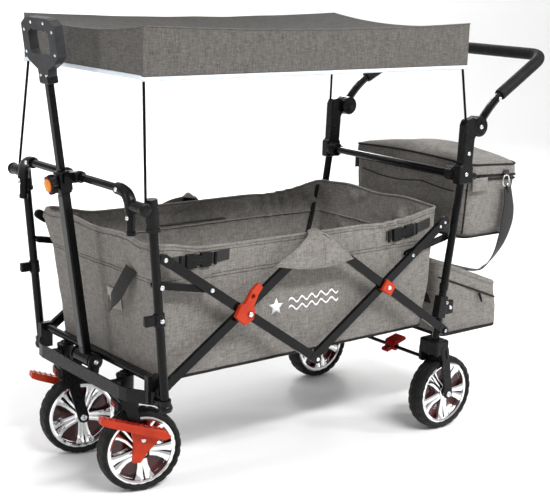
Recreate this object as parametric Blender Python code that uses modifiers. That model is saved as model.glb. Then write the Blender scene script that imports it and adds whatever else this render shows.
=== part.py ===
"""Folding kids pull wagon: two steel end frames, a scissor frame on each side, a fabric tub and canopy.

Front (pull handle) is -X, rear (push handle) is +X, the wagon's left is -Y, the floor is z = 0.
"""
import math

import bmesh
import bpy
from mathutils import Matrix, Vector

# ---- driving dimensions, metres -------------------------------------------------------------
CENTRE_X = 0.1456            # middle of the whole wagon, measured from the wheelbase's own zero
BASE_Z = 0.0055              # the wheels' lowest point, measured from the same zero
GAP = 0.0004                 # clearance between pieces that slide or turn on each other

# scissor frames
PIVOT_Z = 0.268              # lower scissor pivots
FRONT_PIVOT_X = -0.372
HALF_BAR = 0.2503            # pivot to crossing
REST_DEG = 34.2              # slope of a bar when the wagon is open
FRONT_TOP_ARM = 0.257
REAR_TOP_ARM = 0.240
LINK_REACH = 0.1116          # crossing to the link's pin
BAR_W = 0.020
OUTER = (0.2560, 0.2660)     # |y| of the outer bars
INNER = (0.2445, 0.2545)     # |y| of the inner bars
THIRD = (0.2290, 0.2350)     # |y| of the rear links
PIN_R = 0.004
HEAD_R = 0.0075

# posts
FRONT_POST_Y = 0.266
REAR_POST_Y = 0.245
POST_R = 0.0095
FRONT_POST_X = -0.3747
FRONT_LEAN = 0.090
REAR_LEAN = 0.140
REAR_POST_X = 0.4500
LINK_PIVOT = (-0.388, 0.497)
REAR_LINK_PIVOT = (0.4721, 0.497)

# wheels
WHEEL_R = 0.094
HUB_Z = WHEEL_R + BASE_Z
TYRE_W = 0.046
TYRE_FACETS = 30             # one facet sits flat on the floor
RIM_R = 0.0783
RIM_W = 0.036
AXLE_R = 0.005
CASTER_X = -0.3840
CASTER_Y = 0.1285
CASTER_TURN_DEG = -13.0
TRAIL = 0.033
STEM_R = 0.0065
REAR_WHEEL_X = 0.478
REAR_WHEEL_Y = 0.240
PLATE_GAP = 0.0265           # wheel centre to the inner face of a fork plate
PLATE_T = 0.006

# front rail, pull handle
RAIL_PIVOT = (-0.433, 0.663)
RAIL_X = -0.434
RAIL_Z = 0.690
RAIL_R = 0.009
RAIL_Y = 0.2285
HANDLE_PIVOT = (-0.4045, 0.279)
HANDLE_LEAN_DEG = 8.0
COLLAR_AT = 0.402            # along the handle, from its pivot
LOWER_TUBE_TOP = 0.420
UPPER_TUBE_TOP = 0.612
GRIP_TOP = 0.748
GRIP_HALF_W = 0.069

# rear rail, push handle
REAR_RAIL = (0.4960, 0.6530)
PUSH_PIVOT = (0.5480, 0.7680)
PUSH_Y = 0.2440
PUSH_BEND = (0.6020, 0.8300)
PUSH_CORNER = (0.7960, 0.9340)
FOAM_R = 0.0150
TUBE_R = 0.0100

# cloth pieces
TUB_BOTTOM_Z = 0.272
TUB_RIM_Z = 0.556
TUB_FRONT = (-0.344, -0.378)  # x at the bottom and at the rim
TUB_REAR = (0.428, 0.456)
TUB_HALF_W = (0.214, 0.218)
CLOTH_T = 0.0035
CANOPY_X = (-0.4185, 0.4970)
CANOPY_HALF_W = 0.2445
CANOPY_TOP = 1.016
CANOPY_HEM = 0.913
CANOPY_SAG = (0.010, 0.018, 0.014)  # along the long edges, along the short ones, extra in the middle

HD = Vector((-math.sin(math.radians(HANDLE_LEAN_DEG)), 0.0, math.cos(math.radians(HANDLE_LEAN_DEG))))
SIDES = (("left", -1), ("right", 1))

for old in list(bpy.data.objects):
    bpy.data.objects.remove(old, do_unlink=True)
PARTS = bpy.data.collections.new("kids_pull_wagon")
bpy.context.scene.collection.children.link(PARTS)


# ---- materials ------------------------------------------------------------------------------
def material(name, colour, metallic=0.0, roughness=0.5):
    made = bpy.data.materials.new(name)
    made.use_nodes = True
    shader = made.node_tree.nodes["Principled BSDF"]
    shader.inputs["Base Color"].default_value = (*colour, 1.0)
    shader.inputs["Metallic"].default_value = metallic
    shader.inputs["Roughness"].default_value = roughness
    return made


LOOKS = {
    "steel": ((0.015, 0.015, 0.016), 0.0, 0.28),
    "plastic": ((0.045, 0.047, 0.050), 0.0, 0.5),
    "red": ((0.60, 0.045, 0.015), 0.0, 0.4),
    "rubber": ((0.035, 0.034, 0.032), 0.0, 0.85),
    "rim": ((0.80, 0.81, 0.83), 0.0, 0.18),
    "cloth": ((0.20, 0.19, 0.17), 0.0, 0.95),
    "mat": ((0.05, 0.05, 0.05), 0.0, 0.9),
    "foam": ((0.02, 0.02, 0.02), 0.0, 0.9),
}


# ---- shape helpers --------------------------------------------------------------------------
def from_bmesh(name, bm):
    mesh = bpy.data.meshes.new(name)
    bmesh.ops.recalc_face_normals(bm, faces=bm.faces)
    bm.to_mesh(mesh)
    bm.free()
    obj = bpy.data.objects.new(name, mesh)
    PARTS.objects.link(obj)
    return obj


def rod(name, start, end, radius, sides=16, radius_end=None):
    """A capped round bar from one point to another."""
    start, end = Vector(start), Vector(end)
    bm = bmesh.new()
    top = radius if radius_end is None else radius_end
    bmesh.ops.create_cone(bm, cap_ends=True, segments=sides, radius1=radius, radius2=top,
                          depth=(end - start).length)
    turn = Vector((0, 0, 1)).rotation_difference(end - start).to_matrix().to_4x4()
    bmesh.ops.transform(bm, matrix=Matrix.Translation((start + end) / 2) @ turn, verts=bm.verts)
    return from_bmesh(name, bm)


def cross_rod(name, x, z, y0, y1, radius, sides=16):
    return rod(name, (x, y0, z), (x, y1, z), radius, sides)


def block(name, low, high, lean=None):
    """A box between two corners; lean turns it about Y around its own middle, in degrees."""
    low, high = Vector(low), Vector(high)
    bm = bmesh.new()
    bmesh.ops.create_cube(bm, size=1.0)
    turn = Matrix.Rotation(math.radians(lean or 0.0), 4, "Y")
    size = Matrix.Diagonal((*(high - low), 1.0))
    bmesh.ops.transform(bm, matrix=Matrix.Translation((low + high) / 2) @ turn @ size, verts=bm.verts)
    return from_bmesh(name, bm)


def evaluated(obj):
    graph = bpy.context.evaluated_depsgraph_get()
    mesh = bpy.data.meshes.new_from_object(obj.evaluated_get(graph))
    bm = bmesh.new()
    bm.from_mesh(mesh)
    bmesh.ops.transform(bm, matrix=obj.matrix_world, verts=bm.verts)
    bmesh.ops.remove_doubles(bm, verts=bm.verts, dist=0.00002)
    bpy.data.meshes.remove(mesh)
    name = obj.name
    bpy.data.objects.remove(obj, do_unlink=True)
    return from_bmesh(name, bm)


def side_plate(name, outline, y0, y1, holes=()):
    """A flat plate in the XZ plane between two y values; each hole is (x, z, radius, points)."""
    curve = bpy.data.curves.new(name, "CURVE")
    curve.dimensions = "2D"
    curve.fill_mode = "BOTH"
    curve.extrude = abs(y1 - y0) / 2
    rings = [list(outline)]
    for x, z, radius, points in holes:
        rings.append([
            (x + radius * math.cos(math.tau * i / points), z + radius * math.sin(math.tau * i / points))
            for i in range(points)
        ])
    for ring in rings:
        spline = curve.splines.new("POLY")
        spline.points.add(len(ring) - 1)
        for point, (x, z) in zip(spline.points, ring):
            point.co = (x, z, 0.0, 1.0)
        spline.use_cyclic_u = True
    obj = bpy.data.objects.new(name, curve)
    PARTS.objects.link(obj)
    obj.rotation_euler = (math.pi / 2, 0.0, 0.0)
    obj.location = (0.0, (y0 + y1) / 2, 0.0)
    bpy.context.view_layer.update()
    return evaluated(obj)


def path_tube(name, points, radius, resolution=2):
    """A round tube along a run of points, closed at both ends."""
    curve = bpy.data.curves.new(name, "CURVE")
    curve.dimensions = "3D"
    curve.bevel_depth = radius
    curve.bevel_resolution = resolution
    curve.use_fill_caps = True
    spline = curve.splines.new("POLY")
    spline.points.add(len(points) - 1)
    for point, place in zip(spline.points, points):
        point.co = (*place, 1.0)
    obj = bpy.data.objects.new(name, curve)
    PARTS.objects.link(obj)
    bpy.context.view_layer.update()
    return evaluated(obj)


def rounded_path(corners, radius, steps=4):
    """Corner points with each inner corner replaced by an arc-like run of points."""
    corners = [Vector(c) for c in corners]
    run = [corners[0]]
    for before, corner, after in zip(corners, corners[1:], corners[2:]):
        start = corner + (before - corner).normalized() * radius
        end = corner + (after - corner).normalized() * radius
        for i in range(steps + 1):
            t = i / steps
            run.append(start * (1 - t) ** 2 + corner * 2 * t * (1 - t) + end * t * t)
    return run + [corners[-1]]


def turned(name, profile, steps):
    """A ring or disc made by turning an (radius, offset) profile once around the Y axis."""
    bm = bmesh.new()
    verts = [bm.verts.new((r, 0.0, h)) for r, h in profile]
    for a, b in zip(verts, verts[1:]):
        bm.edges.new((a, b))
    bm.edges.new((verts[-1], verts[0]))
    mesh = bpy.data.meshes.new(name)
    bm.to_mesh(mesh)
    bm.free()
    obj = bpy.data.objects.new(name, mesh)
    PARTS.objects.link(obj)
    screw = obj.modifiers.new("turn", "SCREW")
    screw.steps = steps
    screw.render_steps = steps
    screw.use_merge_vertices = True
    screw.merge_threshold = 0.0001
    obj.rotation_euler = (math.pi / 2, 0.0, 0.0)
    bpy.context.view_layer.update()
    return evaluated(obj)


def combine(target, tool, operation):
    change = target.modifiers.new("change", "BOOLEAN")
    change.operation = operation
    change.solver = "EXACT"
    change.object = tool
    bpy.context.view_layer.update()
    done = evaluated(target)
    bpy.data.objects.remove(tool, do_unlink=True)
    return done


def joined(target, *tools):
    for tool in tools:
        target = combine(target, tool, "UNION")
    return target


def cut(target, *tools):
    for tool in tools:
        target = combine(target, tool, "DIFFERENCE")
    return target


def softened(obj, width, segments=1, angle=40.0):
    bevel = obj.modifiers.new("edges", "BEVEL")
    bevel.width = width
    bevel.segments = segments
    bevel.limit_method = "ANGLE"
    bevel.angle_limit = math.radians(angle)
    bpy.context.view_layer.update()
    return evaluated(obj)


def mirrored(y0, y1, side):
    """Two |y| limits on the wanted side, in rising order."""
    return sorted((y0 * side, y1 * side))


def finish(obj, look, origin=(0.0, 0.0, 0.0), smooth=True):
    """Give a piece its material and turning point; the wagon is centred on X = 0 and stands on Z = 0."""
    name = obj.name.split(".")[0]
    obj.name = name
    obj.data.name = name
    colour, metallic, roughness = LOOKS[look]
    obj.data.materials.clear()
    obj.data.materials.append(material(f"{name}_{look}", colour, metallic, roughness))
    origin = Vector(origin)
    obj.data.transform(Matrix.Translation(-origin))
    obj.location = origin - Vector((CENTRE_X, 0.0, BASE_Z))
    if smooth:
        obj.data.shade_smooth()
        obj.data.set_sharp_from_angle(angle=math.radians(38.0))
    return obj


# ---- where things are -----------------------------------------------------------------------
def front_x(z):
    return FRONT_POST_X - FRONT_LEAN * (z - PIVOT_Z)


def rear_x(z):
    return REAR_POST_X + REAR_LEAN * (z - PIVOT_Z)


RUN = HALF_BAR * math.cos(math.radians(REST_DEG))
RISE = HALF_BAR * math.sin(math.radians(REST_DEG))
CROSS_Z = PIVOT_Z + RISE
FRONT_CROSS_X = FRONT_PIVOT_X + RUN
MID_X = FRONT_PIVOT_X + 2 * RUN
REAR_CROSS_X = FRONT_PIVOT_X + 3 * RUN
REAR_PIVOT_X = FRONT_PIVOT_X + 4 * RUN


def along(x, z, reach, degrees):
    turn = math.radians(degrees)
    return x + reach * math.cos(turn), z + reach * math.sin(turn)


FRONT_LINK_END = along(FRONT_CROSS_X, CROSS_Z, LINK_REACH, 180 - REST_DEG)
REAR_LINK_END = along(REAR_CROSS_X, CROSS_Z, LINK_REACH, REST_DEG)


def slot_outline(a, b, width, steps=5):
    """A bar's outline with round ends, from pin to pin."""
    (ax, az), (bx, bz) = a, b
    lean = math.atan2(bz - az, bx - ax)
    ring = []
    for (x, z), base in (((bx, bz), lean - math.pi / 2), ((ax, az), lean + math.pi / 2)):
        for i in range(steps + 1):
            turn = base + math.pi * i / steps
            ring.append((x + width / 2 * math.cos(turn), z + width / 2 * math.sin(turn)))
    return ring


def bar(name, a, b, layer, side, holes, width=BAR_W):
    rings = [(x, z, PIN_R + GAP, 10) for x, z in holes]
    return side_plate(name, slot_outline(a, b, width), *mirrored(*layer, side), holes=rings)


def rivet(name, x, z, inner, outer, side, head):
    """A pin across |y| inner..outer with its head at the 'in' or 'out' end."""
    y0, y1 = mirrored(inner, outer, side)
    pin = cross_rod(name, x, z, y0, y1, PIN_R, 12)
    at = (inner - 0.0034, inner + 0.0002) if head == "in" else (outer - 0.0002, outer + 0.003)
    return joined(pin, cross_rod("head", x, z, *mirrored(*at, side), HEAD_R, 14))


# ---- scissor bars and links -----------------------------------------------------------------
def scissors(tag, side):
    low_front = (FRONT_PIVOT_X, PIVOT_Z)
    low_mid = (MID_X, PIVOT_Z)
    low_rear = (REAR_PIVOT_X, PIVOT_Z)
    high_mid = (MID_X, PIVOT_Z + 2 * RISE)
    cross_f = (FRONT_CROSS_X, CROSS_Z)
    cross_r = (REAR_CROSS_X, CROSS_Z)
    head_in = INNER[0] - GAP

    riser = bar(f"scissor_front_inner_{tag}", low_front, high_mid, INNER, side, [low_front, cross_f])
    finish(riser, "steel", (low_front[0], 0, low_front[1]))

    top = along(*cross_f, FRONT_TOP_ARM, 180 - REST_DEG)
    faller = bar(f"scissor_front_outer_{tag}", top, low_mid, OUTER, side, [])
    faller = joined(
        faller,
        rivet("pin", *cross_f, head_in, OUTER[1] + 0.0150, side, "in"),
        rivet("pin", *low_mid, head_in, OUTER[0] + 0.002, side, "in"),
    )
    finish(faller, "steel", (cross_f[0], 0, cross_f[1]))

    top = along(*cross_r, REAR_TOP_ARM, REST_DEG)
    inner = bar(f"scissor_rear_inner_{tag}", low_mid, top, INNER, side, [low_mid, cross_r])
    finish(inner, "steel", (low_mid[0], 0, low_mid[1]))

    outer = bar(f"scissor_rear_outer_{tag}", high_mid, low_rear, OUTER, side, [low_rear])
    outer = joined(outer, rivet("pin", *cross_r, head_in, OUTER[0] + 0.002, side, "in"))
    finish(outer, "steel", (cross_r[0], 0, cross_r[1]))

    link = bar(f"link_front_{tag}", LINK_PIVOT, FRONT_LINK_END, INNER, side,
               [LINK_PIVOT, FRONT_LINK_END], 0.015)
    finish(link, "steel", (LINK_PIVOT[0], 0, LINK_PIVOT[1]))
    link = bar(f"link_rear_{tag}", REAR_LINK_END, REAR_LINK_PIVOT, THIRD, side,
               [REAR_LINK_END, REAR_LINK_PIVOT], 0.015)
    finish(link, "steel", (REAR_LINK_PIVOT[0], 0, REAR_LINK_PIVOT[1]))


def fold_latch(tag, side):
    """The red catch that locks the front crossing: a saddle on the bar with a lever and a window."""
    x, z = FRONT_CROSS_X, CROSS_Z
    lever = [(-0.037, -0.002), (-0.012, -0.024), (0.011, -0.013), (0.015, 0.008), (0.010, 0.014),
             (0.022, 0.040), (0.034, 0.055), (0.024, 0.066), (0.004, 0.050),
              (-0.013, 0.024), (-0.024, 0.022)]
    y0, y1 = mirrored(OUTER[1] + 0.0008, OUTER[1] + 0.0120, side)
    catch = side_plate(f"fold_latch_{tag}", [(x + a, z + b) for a, b in lever], y0, y1,
                       holes=[(x, z, PIN_R + GAP, 12), (x + 0.008, z + 0.038, 0.0055, 8)])
    catch = softened(catch, 0.0012)
    finish(catch, "red", (x, 0, z))


# ---- front frame ----------------------------------------------------------------------------
def front_post(tag, side):
    low, high = 0.228, 0.642
    post = rod(f"front_post_{tag}", (front_x(low), FRONT_POST_Y * side, low),
               (front_x(high), FRONT_POST_Y * side, high), POST_R, 16)
    for x, z in ((FRONT_PIVOT_X, PIVOT_Z), LINK_PIVOT):
        post = joined(post, rivet("pin", x, z, INNER[0] - GAP, FRONT_POST_Y, side, "in"))
    finish(post, "steel", (FRONT_PIVOT_X, FRONT_POST_Y * side, PIVOT_Z))


def front_post_cap(tag, side):
    low, high = 0.618, 0.680
    y = FRONT_POST_Y * side
    cap = rod(f"front_post_cap_{tag}", (front_x(low), y, low), (front_x(high), y, high), 0.0135, 18)
    cap = softened(cap, 0.0012)
    boss = cross_rod("boss", *RAIL_PIVOT, *mirrored(0.2390, 0.2810, side), 0.0125, 18)
    neck = block("neck", (RAIL_PIVOT[0], min(y - 0.007, y + 0.007), 0.652),
                 (front_x(0.662), max(y - 0.007, y + 0.007), 0.672))
    pin = cross_rod("pin", *RAIL_PIVOT, *mirrored(0.2185, 0.2400, side), 0.0055, 14)
    cap = joined(cap, boss, neck, pin)
    seat = rod("seat", (front_x(0.600), y, 0.600), (front_x(0.6424), y, 0.6424), POST_R + GAP, 16)
    socket = rod("socket", (-0.4240, y, 0.6701), (-0.4231, y - 0.0023 * side, 0.6900), 0.0030 + GAP, 10)
    finish(cut(cap, seat, socket), "plastic", (front_x(low), y, low))


def canopy_poles(tag, side):
    pole = rod(f"canopy_pole_front_{tag}", (-0.4240, FRONT_POST_Y * side, 0.6705),
               (-0.4085, 0.2275 * side, 0.9960), 0.0030, 10)
    finish(pole, "steel", (-0.4240, FRONT_POST_Y * side, 0.6705))
    pole = rod(f"canopy_pole_rear_{tag}", (0.5010, 0.2500 * side, 0.7700),
               (0.4840, 0.2275 * side, 0.9960), 0.0030, 10)
    finish(pole, "steel", (0.5010, 0.2500 * side, 0.7700))


def front_beam():
    """The moulded front beam: curved face strip, swivel housings, the handle's lugs and the post shoes."""
    half = [(-0.424, 0.000), (-0.424, 0.168), (-0.4195, 0.190), (-0.407, 0.210), (-0.386, 0.243)]
    back = [(-0.382, 0.240), (-0.4035, 0.2075), (-0.4155, 0.188), (-0.4195, 0.167), (-0.4195, 0.0)]
    outline = half + back[:-1]
    outline += [(x, -y) for x, y in reversed(back[:-1])]
    outline += [(x, -y) for x, y in reversed(half[1:])]
    bm = bmesh.new()
    low_z, high_z = 0.2365, 0.2660
    floor = [bm.verts.new((x, y, low_z)) for x, y in outline]
    roof = [bm.verts.new((x, y, high_z)) for x, y in outline]
    bm.faces.new(floor)
    bm.faces.new(list(reversed(roof)))
    for i, here in enumerate(floor):
        after = (i + 1) % len(floor)
        bm.faces.new((here, floor[after], roof[after], roof[i]))
    beam = from_bmesh("front_beam", bm)
    for side in (-1, 1):
        y = CASTER_Y * side
        beam = joined(
            beam,
            rod("housing", (CASTER_X, y, 0.2290), (CASTER_X, y, 0.2745), 0.0190, 20),
            block("web", (-0.4210, y - 0.010, 0.2390), (CASTER_X, y + 0.010, 0.2630)),
            rod("shoe", (front_x(0.2285), FRONT_POST_Y * side, 0.2285),
                (front_x(0.2540), FRONT_POST_Y * side, 0.2540), 0.0135, 16),
            block("arm", (-0.3860, min(0.236 * side, 0.262 * side), 0.2380),
                  (-0.3740, max(0.236 * side, 0.262 * side), 0.2500)),
            block("stand", (-0.3960, min(0.2230 * side, 0.2380 * side), 0.2400),
                  (-0.3660, max(0.2230 * side, 0.2380 * side), 0.2990)),
            side_plate("lug", slot_outline((-0.4110, 0.2480), HANDLE_PIVOT, 0.026),
                       *mirrored(0.0320, 0.0400, side)),
        )
        beam = cut(
            beam,
            rod("stem_bore", (CASTER_X, y, 0.2200), (CASTER_X, y, 0.2690), STEM_R + GAP, 14),
            rod("post_bore", (front_x(0.2279), FRONT_POST_Y * side, 0.2279),
                (front_x(0.2600), FRONT_POST_Y * side, 0.2600), POST_R + GAP, 16),
            cross_rod("tube_bore", -0.3780, 0.2870, *mirrored(0.2220, 0.2345, side), 0.0085 + GAP, 14),
        )
    beam = joined(beam, cross_rod("pin", *HANDLE_PIVOT, -0.0340, 0.0340, PIN_R, 12))
    finish(beam, "plastic", (0, 0, 0))
    tube = cross_rod("front_cross_tube", -0.3780, 0.2870, -0.2340, 0.2340, 0.0085, 16)
    finish(tube, "steel", (-0.3780, 0, 0.2870))


def front_rail():
    """The rail across the front with an elbow arm at each end and a cradle for the pull handle."""
    corners = [(RAIL_X, -RAIL_Y, 0.606), (RAIL_X, -RAIL_Y, RAIL_Z), (RAIL_X, RAIL_Y, RAIL_Z),
               (RAIL_X, RAIL_Y, 0.606)]
    rail = path_tube("front_rail", rounded_path(corners, 0.042, 5), RAIL_R, 2)
    for side in (-1, 1):
        ring = cross_rod("ring", *RAIL_PIVOT, *mirrored(0.2205, 0.2375, side), 0.0125, 16)
        rail = joined(rail, ring)
    cradle = block("cradle", (-0.4660, -0.0185, 0.6760), (-0.4340, 0.0185, 0.6990))
    cradle = cut(cradle, block("mouth", (-0.4700, -0.0143, 0.6600), (-0.4450, 0.0143, 0.7100)))
    rail = joined(rail, cradle)
    for side in (-1, 1):
        rail = cut(rail, cross_rod("bore", *RAIL_PIVOT, *mirrored(0.2170, 0.2390, side), 0.0055 + GAP, 14))
    finish(rail, "steel", (RAIL_PIVOT[0], 0, RAIL_PIVOT[1]))


# ---- pull handle ----------------------------------------------------------------------------
def on_handle(reach, forward=0.0, y=0.0):
    """A point along the handle; forward is square to it, towards the puller."""
    base = Vector((HANDLE_PIVOT[0], 0.0, HANDLE_PIVOT[1]))
    square = Vector((-HD.z, 0.0, HD.x))
    return base + HD * reach + square * forward + Vector((0.0, y, 0.0))


def handle_box(name, start, end, half_x, half_y, rounding):
    middle = on_handle((start + end) / 2)
    box = block(name, middle - Vector((half_x, half_y, (end - start) / 2)),
                middle + Vector((half_x, half_y, (end - start) / 2)), lean=-HANDLE_LEAN_DEG)
    return softened(box, rounding, 2) if rounding else box


def pull_handle():
    origin = (HANDLE_PIVOT[0], 0, HANDLE_PIVOT[1])
    lower = handle_box("handle_lower_tube", 0.010, LOWER_TUBE_TOP, 0.0100, 0.0110, 0.003)
    collar = handle_box("collar", COLLAR_AT - 0.024, COLLAR_AT + 0.022, 0.0130, 0.0136, 0.002)
    barrel = softened(cross_rod("barrel", *HANDLE_PIVOT, -0.0313, 0.0313, 0.0165, 20), 0.001)
    lower = joined(lower, barrel, collar)
    lower = cut(
        lower,
        handle_box("bore", 0.060, LOWER_TUBE_TOP + 0.020, 0.0076, 0.0086, 0.0),
        cross_rod("pin_bore", *HANDLE_PIVOT, -0.040, 0.040, PIN_R + GAP, 12),
        rod("knob_bore", on_handle(COLLAR_AT, 0.0090), on_handle(COLLAR_AT, 0.0200), 0.0040 + GAP, 12),
    )
    finish(lower, "steel", origin)

    upper = handle_box("handle_upper_tube", LOWER_TUBE_TOP - 0.090, UPPER_TUBE_TOP, 0.0072, 0.0082, 0.002)
    finish(upper, "steel", on_handle(UPPER_TUBE_TOP))

    knob = rod("handle_knob", on_handle(COLLAR_AT, 0.0136), on_handle(COLLAR_AT, 0.0320), 0.0185, 24)
    for i in range(8):
        turn = math.tau * i / 8
        rise, across = 0.0225 * math.cos(turn), 0.0225 * math.sin(turn)
        knob = cut(knob, rod("flute", on_handle(COLLAR_AT + rise, 0.0100, across),
                             on_handle(COLLAR_AT + rise, 0.0400, across), 0.0065, 8))
    stem = rod("stem", on_handle(COLLAR_AT, 0.0098), on_handle(COLLAR_AT, 0.0150), 0.0040, 12)
    finish(joined(knob, stem), "plastic", on_handle(COLLAR_AT, 0.0136))

    grip = handle_grip()
    finish(grip, "plastic", on_handle(UPPER_TUBE_TOP))


def handle_grip():
    """A D grip: a neck, a closed loop and four finger grooves under the top bar."""
    base = UPPER_TUBE_TOP + GAP
    outline = [(-0.016, base), (0.016, base), (0.022, base + 0.030), (0.052, base + 0.044),
               (GRIP_HALF_W, base + 0.058), (GRIP_HALF_W, GRIP_TOP - 0.014), (0.052, GRIP_TOP - 0.003),
               (0.036, GRIP_TOP), (-0.036, GRIP_TOP), (-0.052, GRIP_TOP - 0.003),
               (-GRIP_HALF_W, GRIP_TOP - 0.014), (-GRIP_HALF_W, base + 0.058), (-0.052, base + 0.044),
               (-0.022, base + 0.030)]
    low, high = base + 0.062, GRIP_TOP - 0.026
    hole = [(-0.042, low + 0.006), (-0.036, low), (0.036, low), (0.042, low + 0.006), (0.042, high - 0.004)]
    for i in range(4):
        right = 0.036 - 0.018 * i
        hole += [(right, high - 0.001), (right - 0.009, high + 0.004)]
    hole += [(-0.036, high - 0.001), (-0.042, high - 0.004)]
    curve = bpy.data.curves.new("handle_grip", "CURVE")
    curve.dimensions = "2D"
    curve.fill_mode = "BOTH"
    curve.extrude = 0.0105
    for ring in (outline, hole):
        spline = curve.splines.new("POLY")
        spline.points.add(len(ring) - 1)
        for point, (y, reach) in zip(spline.points, ring):
            point.co = (y, reach, 0.0, 1.0)
        spline.use_cyclic_u = True
    grip = bpy.data.objects.new("handle_grip", curve)
    PARTS.objects.link(grip)
    across = Vector((0.0, 1.0, 0.0))
    square = across.cross(HD)
    turn = Matrix((across, HD, square)).transposed().to_4x4()
    grip.matrix_world = Matrix.Translation((HANDLE_PIVOT[0], 0.0, HANDLE_PIVOT[1])) @ turn
    bpy.context.view_layer.update()
    return softened(evaluated(grip), 0.003, 1)


# ---- wheels ---------------------------------------------------------------------------------
def wheel(tag, x, y, outward):
    half = TYRE_W / 2
    tread = WHEEL_R / math.cos(math.pi / TYRE_FACETS)
    tyre = [(tread, 0.010), (tread - 0.003, half - 0.004), (tread - 0.008, half),
            (RIM_R + 0.0003, half - 0.003), (RIM_R + 0.0003, 0.003 - half), (tread - 0.008, -half),
            (tread - 0.003, 0.004 - half), (tread, -0.010)]
    ring = turned(f"tyre_{tag}", tyre, TYRE_FACETS)
    place = swivelled if tag.startswith("front") else lambda obj, _: obj
    hub_at = swivelled_point(x, y, HUB_Z) if tag.startswith("front") else Vector((x, y, HUB_Z))
    ring.data.transform(Matrix.Translation((x, y, HUB_Z)))
    finish(place(ring, y), "rubber", hub_at)

    holes = []
    for i in range(5):
        middle = math.tau * (i + 0.25) / 5
        holes.append([(0.0245, middle - 0.34), (0.0245, middle + 0.34), (0.0660, middle + 0.42),
                      (0.0702, middle), (0.0660, middle - 0.42)])
        twin = middle + math.tau / 10
        holes.append([(0.0300, twin - 0.05), (0.0300, twin + 0.05),
                      (0.0675, twin + 0.075), (0.0675, twin - 0.075)])
    circle = [(0.0740, math.tau * i / TYRE_FACETS) for i in range(TYRE_FACETS)]
    curve = bpy.data.curves.new("disc", "CURVE")
    curve.dimensions = "2D"
    curve.fill_mode = "BOTH"
    curve.extrude = 0.0060
    for points in [circle, *holes]:
        spline = curve.splines.new("POLY")
        spline.points.add(len(points) - 1)
        for point, (r, turn) in zip(spline.points, points):
            point.co = (r * math.cos(turn), r * math.sin(turn), 0.0, 1.0)
        spline.use_cyclic_u = True
    disc = bpy.data.objects.new(f"rim_{tag}", curve)
    PARTS.objects.link(disc)
    disc.rotation_euler = (math.pi / 2, 0.0, 0.0)
    disc.location = (0.0, outward * 0.006, 0.0)
    bpy.context.view_layer.update()
    rim = evaluated(disc)
    half_w = RIM_W / 2
    band = [(RIM_R, half_w), (0.0713, half_w), (0.0723, 0.0), (0.0713, -half_w), (RIM_R, -half_w)]
    hub = cross_rod("hub", 0.0, 0.0, -0.0225, 0.0225, 0.0170, 18)
    rim = joined(rim, turned("band", band, TYRE_FACETS), hub)
    rim = cut(rim, cross_rod("bore", 0.0, 0.0, -0.040, 0.040, AXLE_R + GAP, 12))
    rim.data.transform(Matrix.Translation((x, y, HUB_Z)))
    finish(place(rim, y), "rim", hub_at)


def swivelled(obj, y):
    """Turn a caster piece about its stem, to the angle the wagon stands at."""
    stem = Vector((CASTER_X, y, 0.0))
    turn = Matrix.Rotation(math.radians(CASTER_TURN_DEG), 4, "Z")
    obj.data.transform(Matrix.Translation(stem) @ turn @ Matrix.Translation(-stem))
    return obj


def swivelled_point(x, y, z):
    turn = Matrix.Rotation(math.radians(CASTER_TURN_DEG), 4, "Z")
    stem_y = CASTER_Y if y > 0 else -CASTER_Y
    return Vector((CASTER_X, stem_y, 0.0)) + turn @ Vector((x - CASTER_X, y - stem_y, z))


def caster(tag, side):
    y = CASTER_Y * side
    hub = (CASTER_X + TRAIL, HUB_Z)
    fork = softened(block(f"caster_fork_{tag}", (CASTER_X - 0.021, y - 0.0316, 0.2010),
                          (CASTER_X + 0.022, y + 0.0316, 0.2270)), 0.004)
    for way in (-1, 1):
        plate = side_plate("plate", slot_outline((CASTER_X + 0.002, 0.2120), hub, 0.026),
                           *mirrored(PLATE_GAP, PLATE_GAP + PLATE_T, way))
        plate.data.transform(Matrix.Translation((0.0, y, 0.0)))
        fork = joined(fork, plate)
    fork = joined(
        fork,
        cross_rod("axle", *hub, y - 0.0305, y + 0.0305, AXLE_R, 14),
        rod("stem", (CASTER_X, y, 0.2200), (CASTER_X, y, 0.2680), STEM_R, 14),
    )
    pivot_x, pivot_z = CASTER_X + 0.028, 0.134
    pin = cross_rod("lever_pin", pivot_x, pivot_z, y + side * 0.030, y + side * 0.0440, PIN_R, 12)
    fork = joined(fork, pin)
    finish(swivelled(fork, y), "plastic", (CASTER_X, y, 0.2200))
    caster_lever(tag, side, pivot_x, pivot_z)
    wheel(f"front_{tag}", hub[0], y, side)


def caster_lever(tag, side, x, z):
    """The red rocker on the outer plate: a long foot pad and a tapered stem."""
    y = CASTER_Y * side
    near, far = mirrored(0.0335, 0.0435, side)
    stem = [(-0.030, 0.040), (0.052, 0.010), (0.010, -0.030),
            (-0.006, -0.052), (-0.024, -0.050), (-0.022, -0.004)]
    lever = side_plate(f"caster_lever_{tag}", [(x + a, z + b) for a, b in stem], y + near, y + far)
    near, far = mirrored(0.0342, 0.0580, side)
    pad = side_plate("pad", [(x - 0.098, z + 0.066), (x - 0.100, z + 0.052), (x - 0.085, z + 0.045),
                             (x + 0.045, z - 0.002), (x + 0.060, z + 0.004), (x + 0.048, z + 0.018)],
                     y + near, y + far)
    lever = joined(softened(lever, 0.0015), softened(pad, 0.0020))
    lever = cut(lever, cross_rod("bore", x, z, y + side * 0.030, y + side * 0.070, PIN_R + GAP, 12))
    finish(swivelled(lever, y), "red", swivelled_point(x, y, z))


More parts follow.
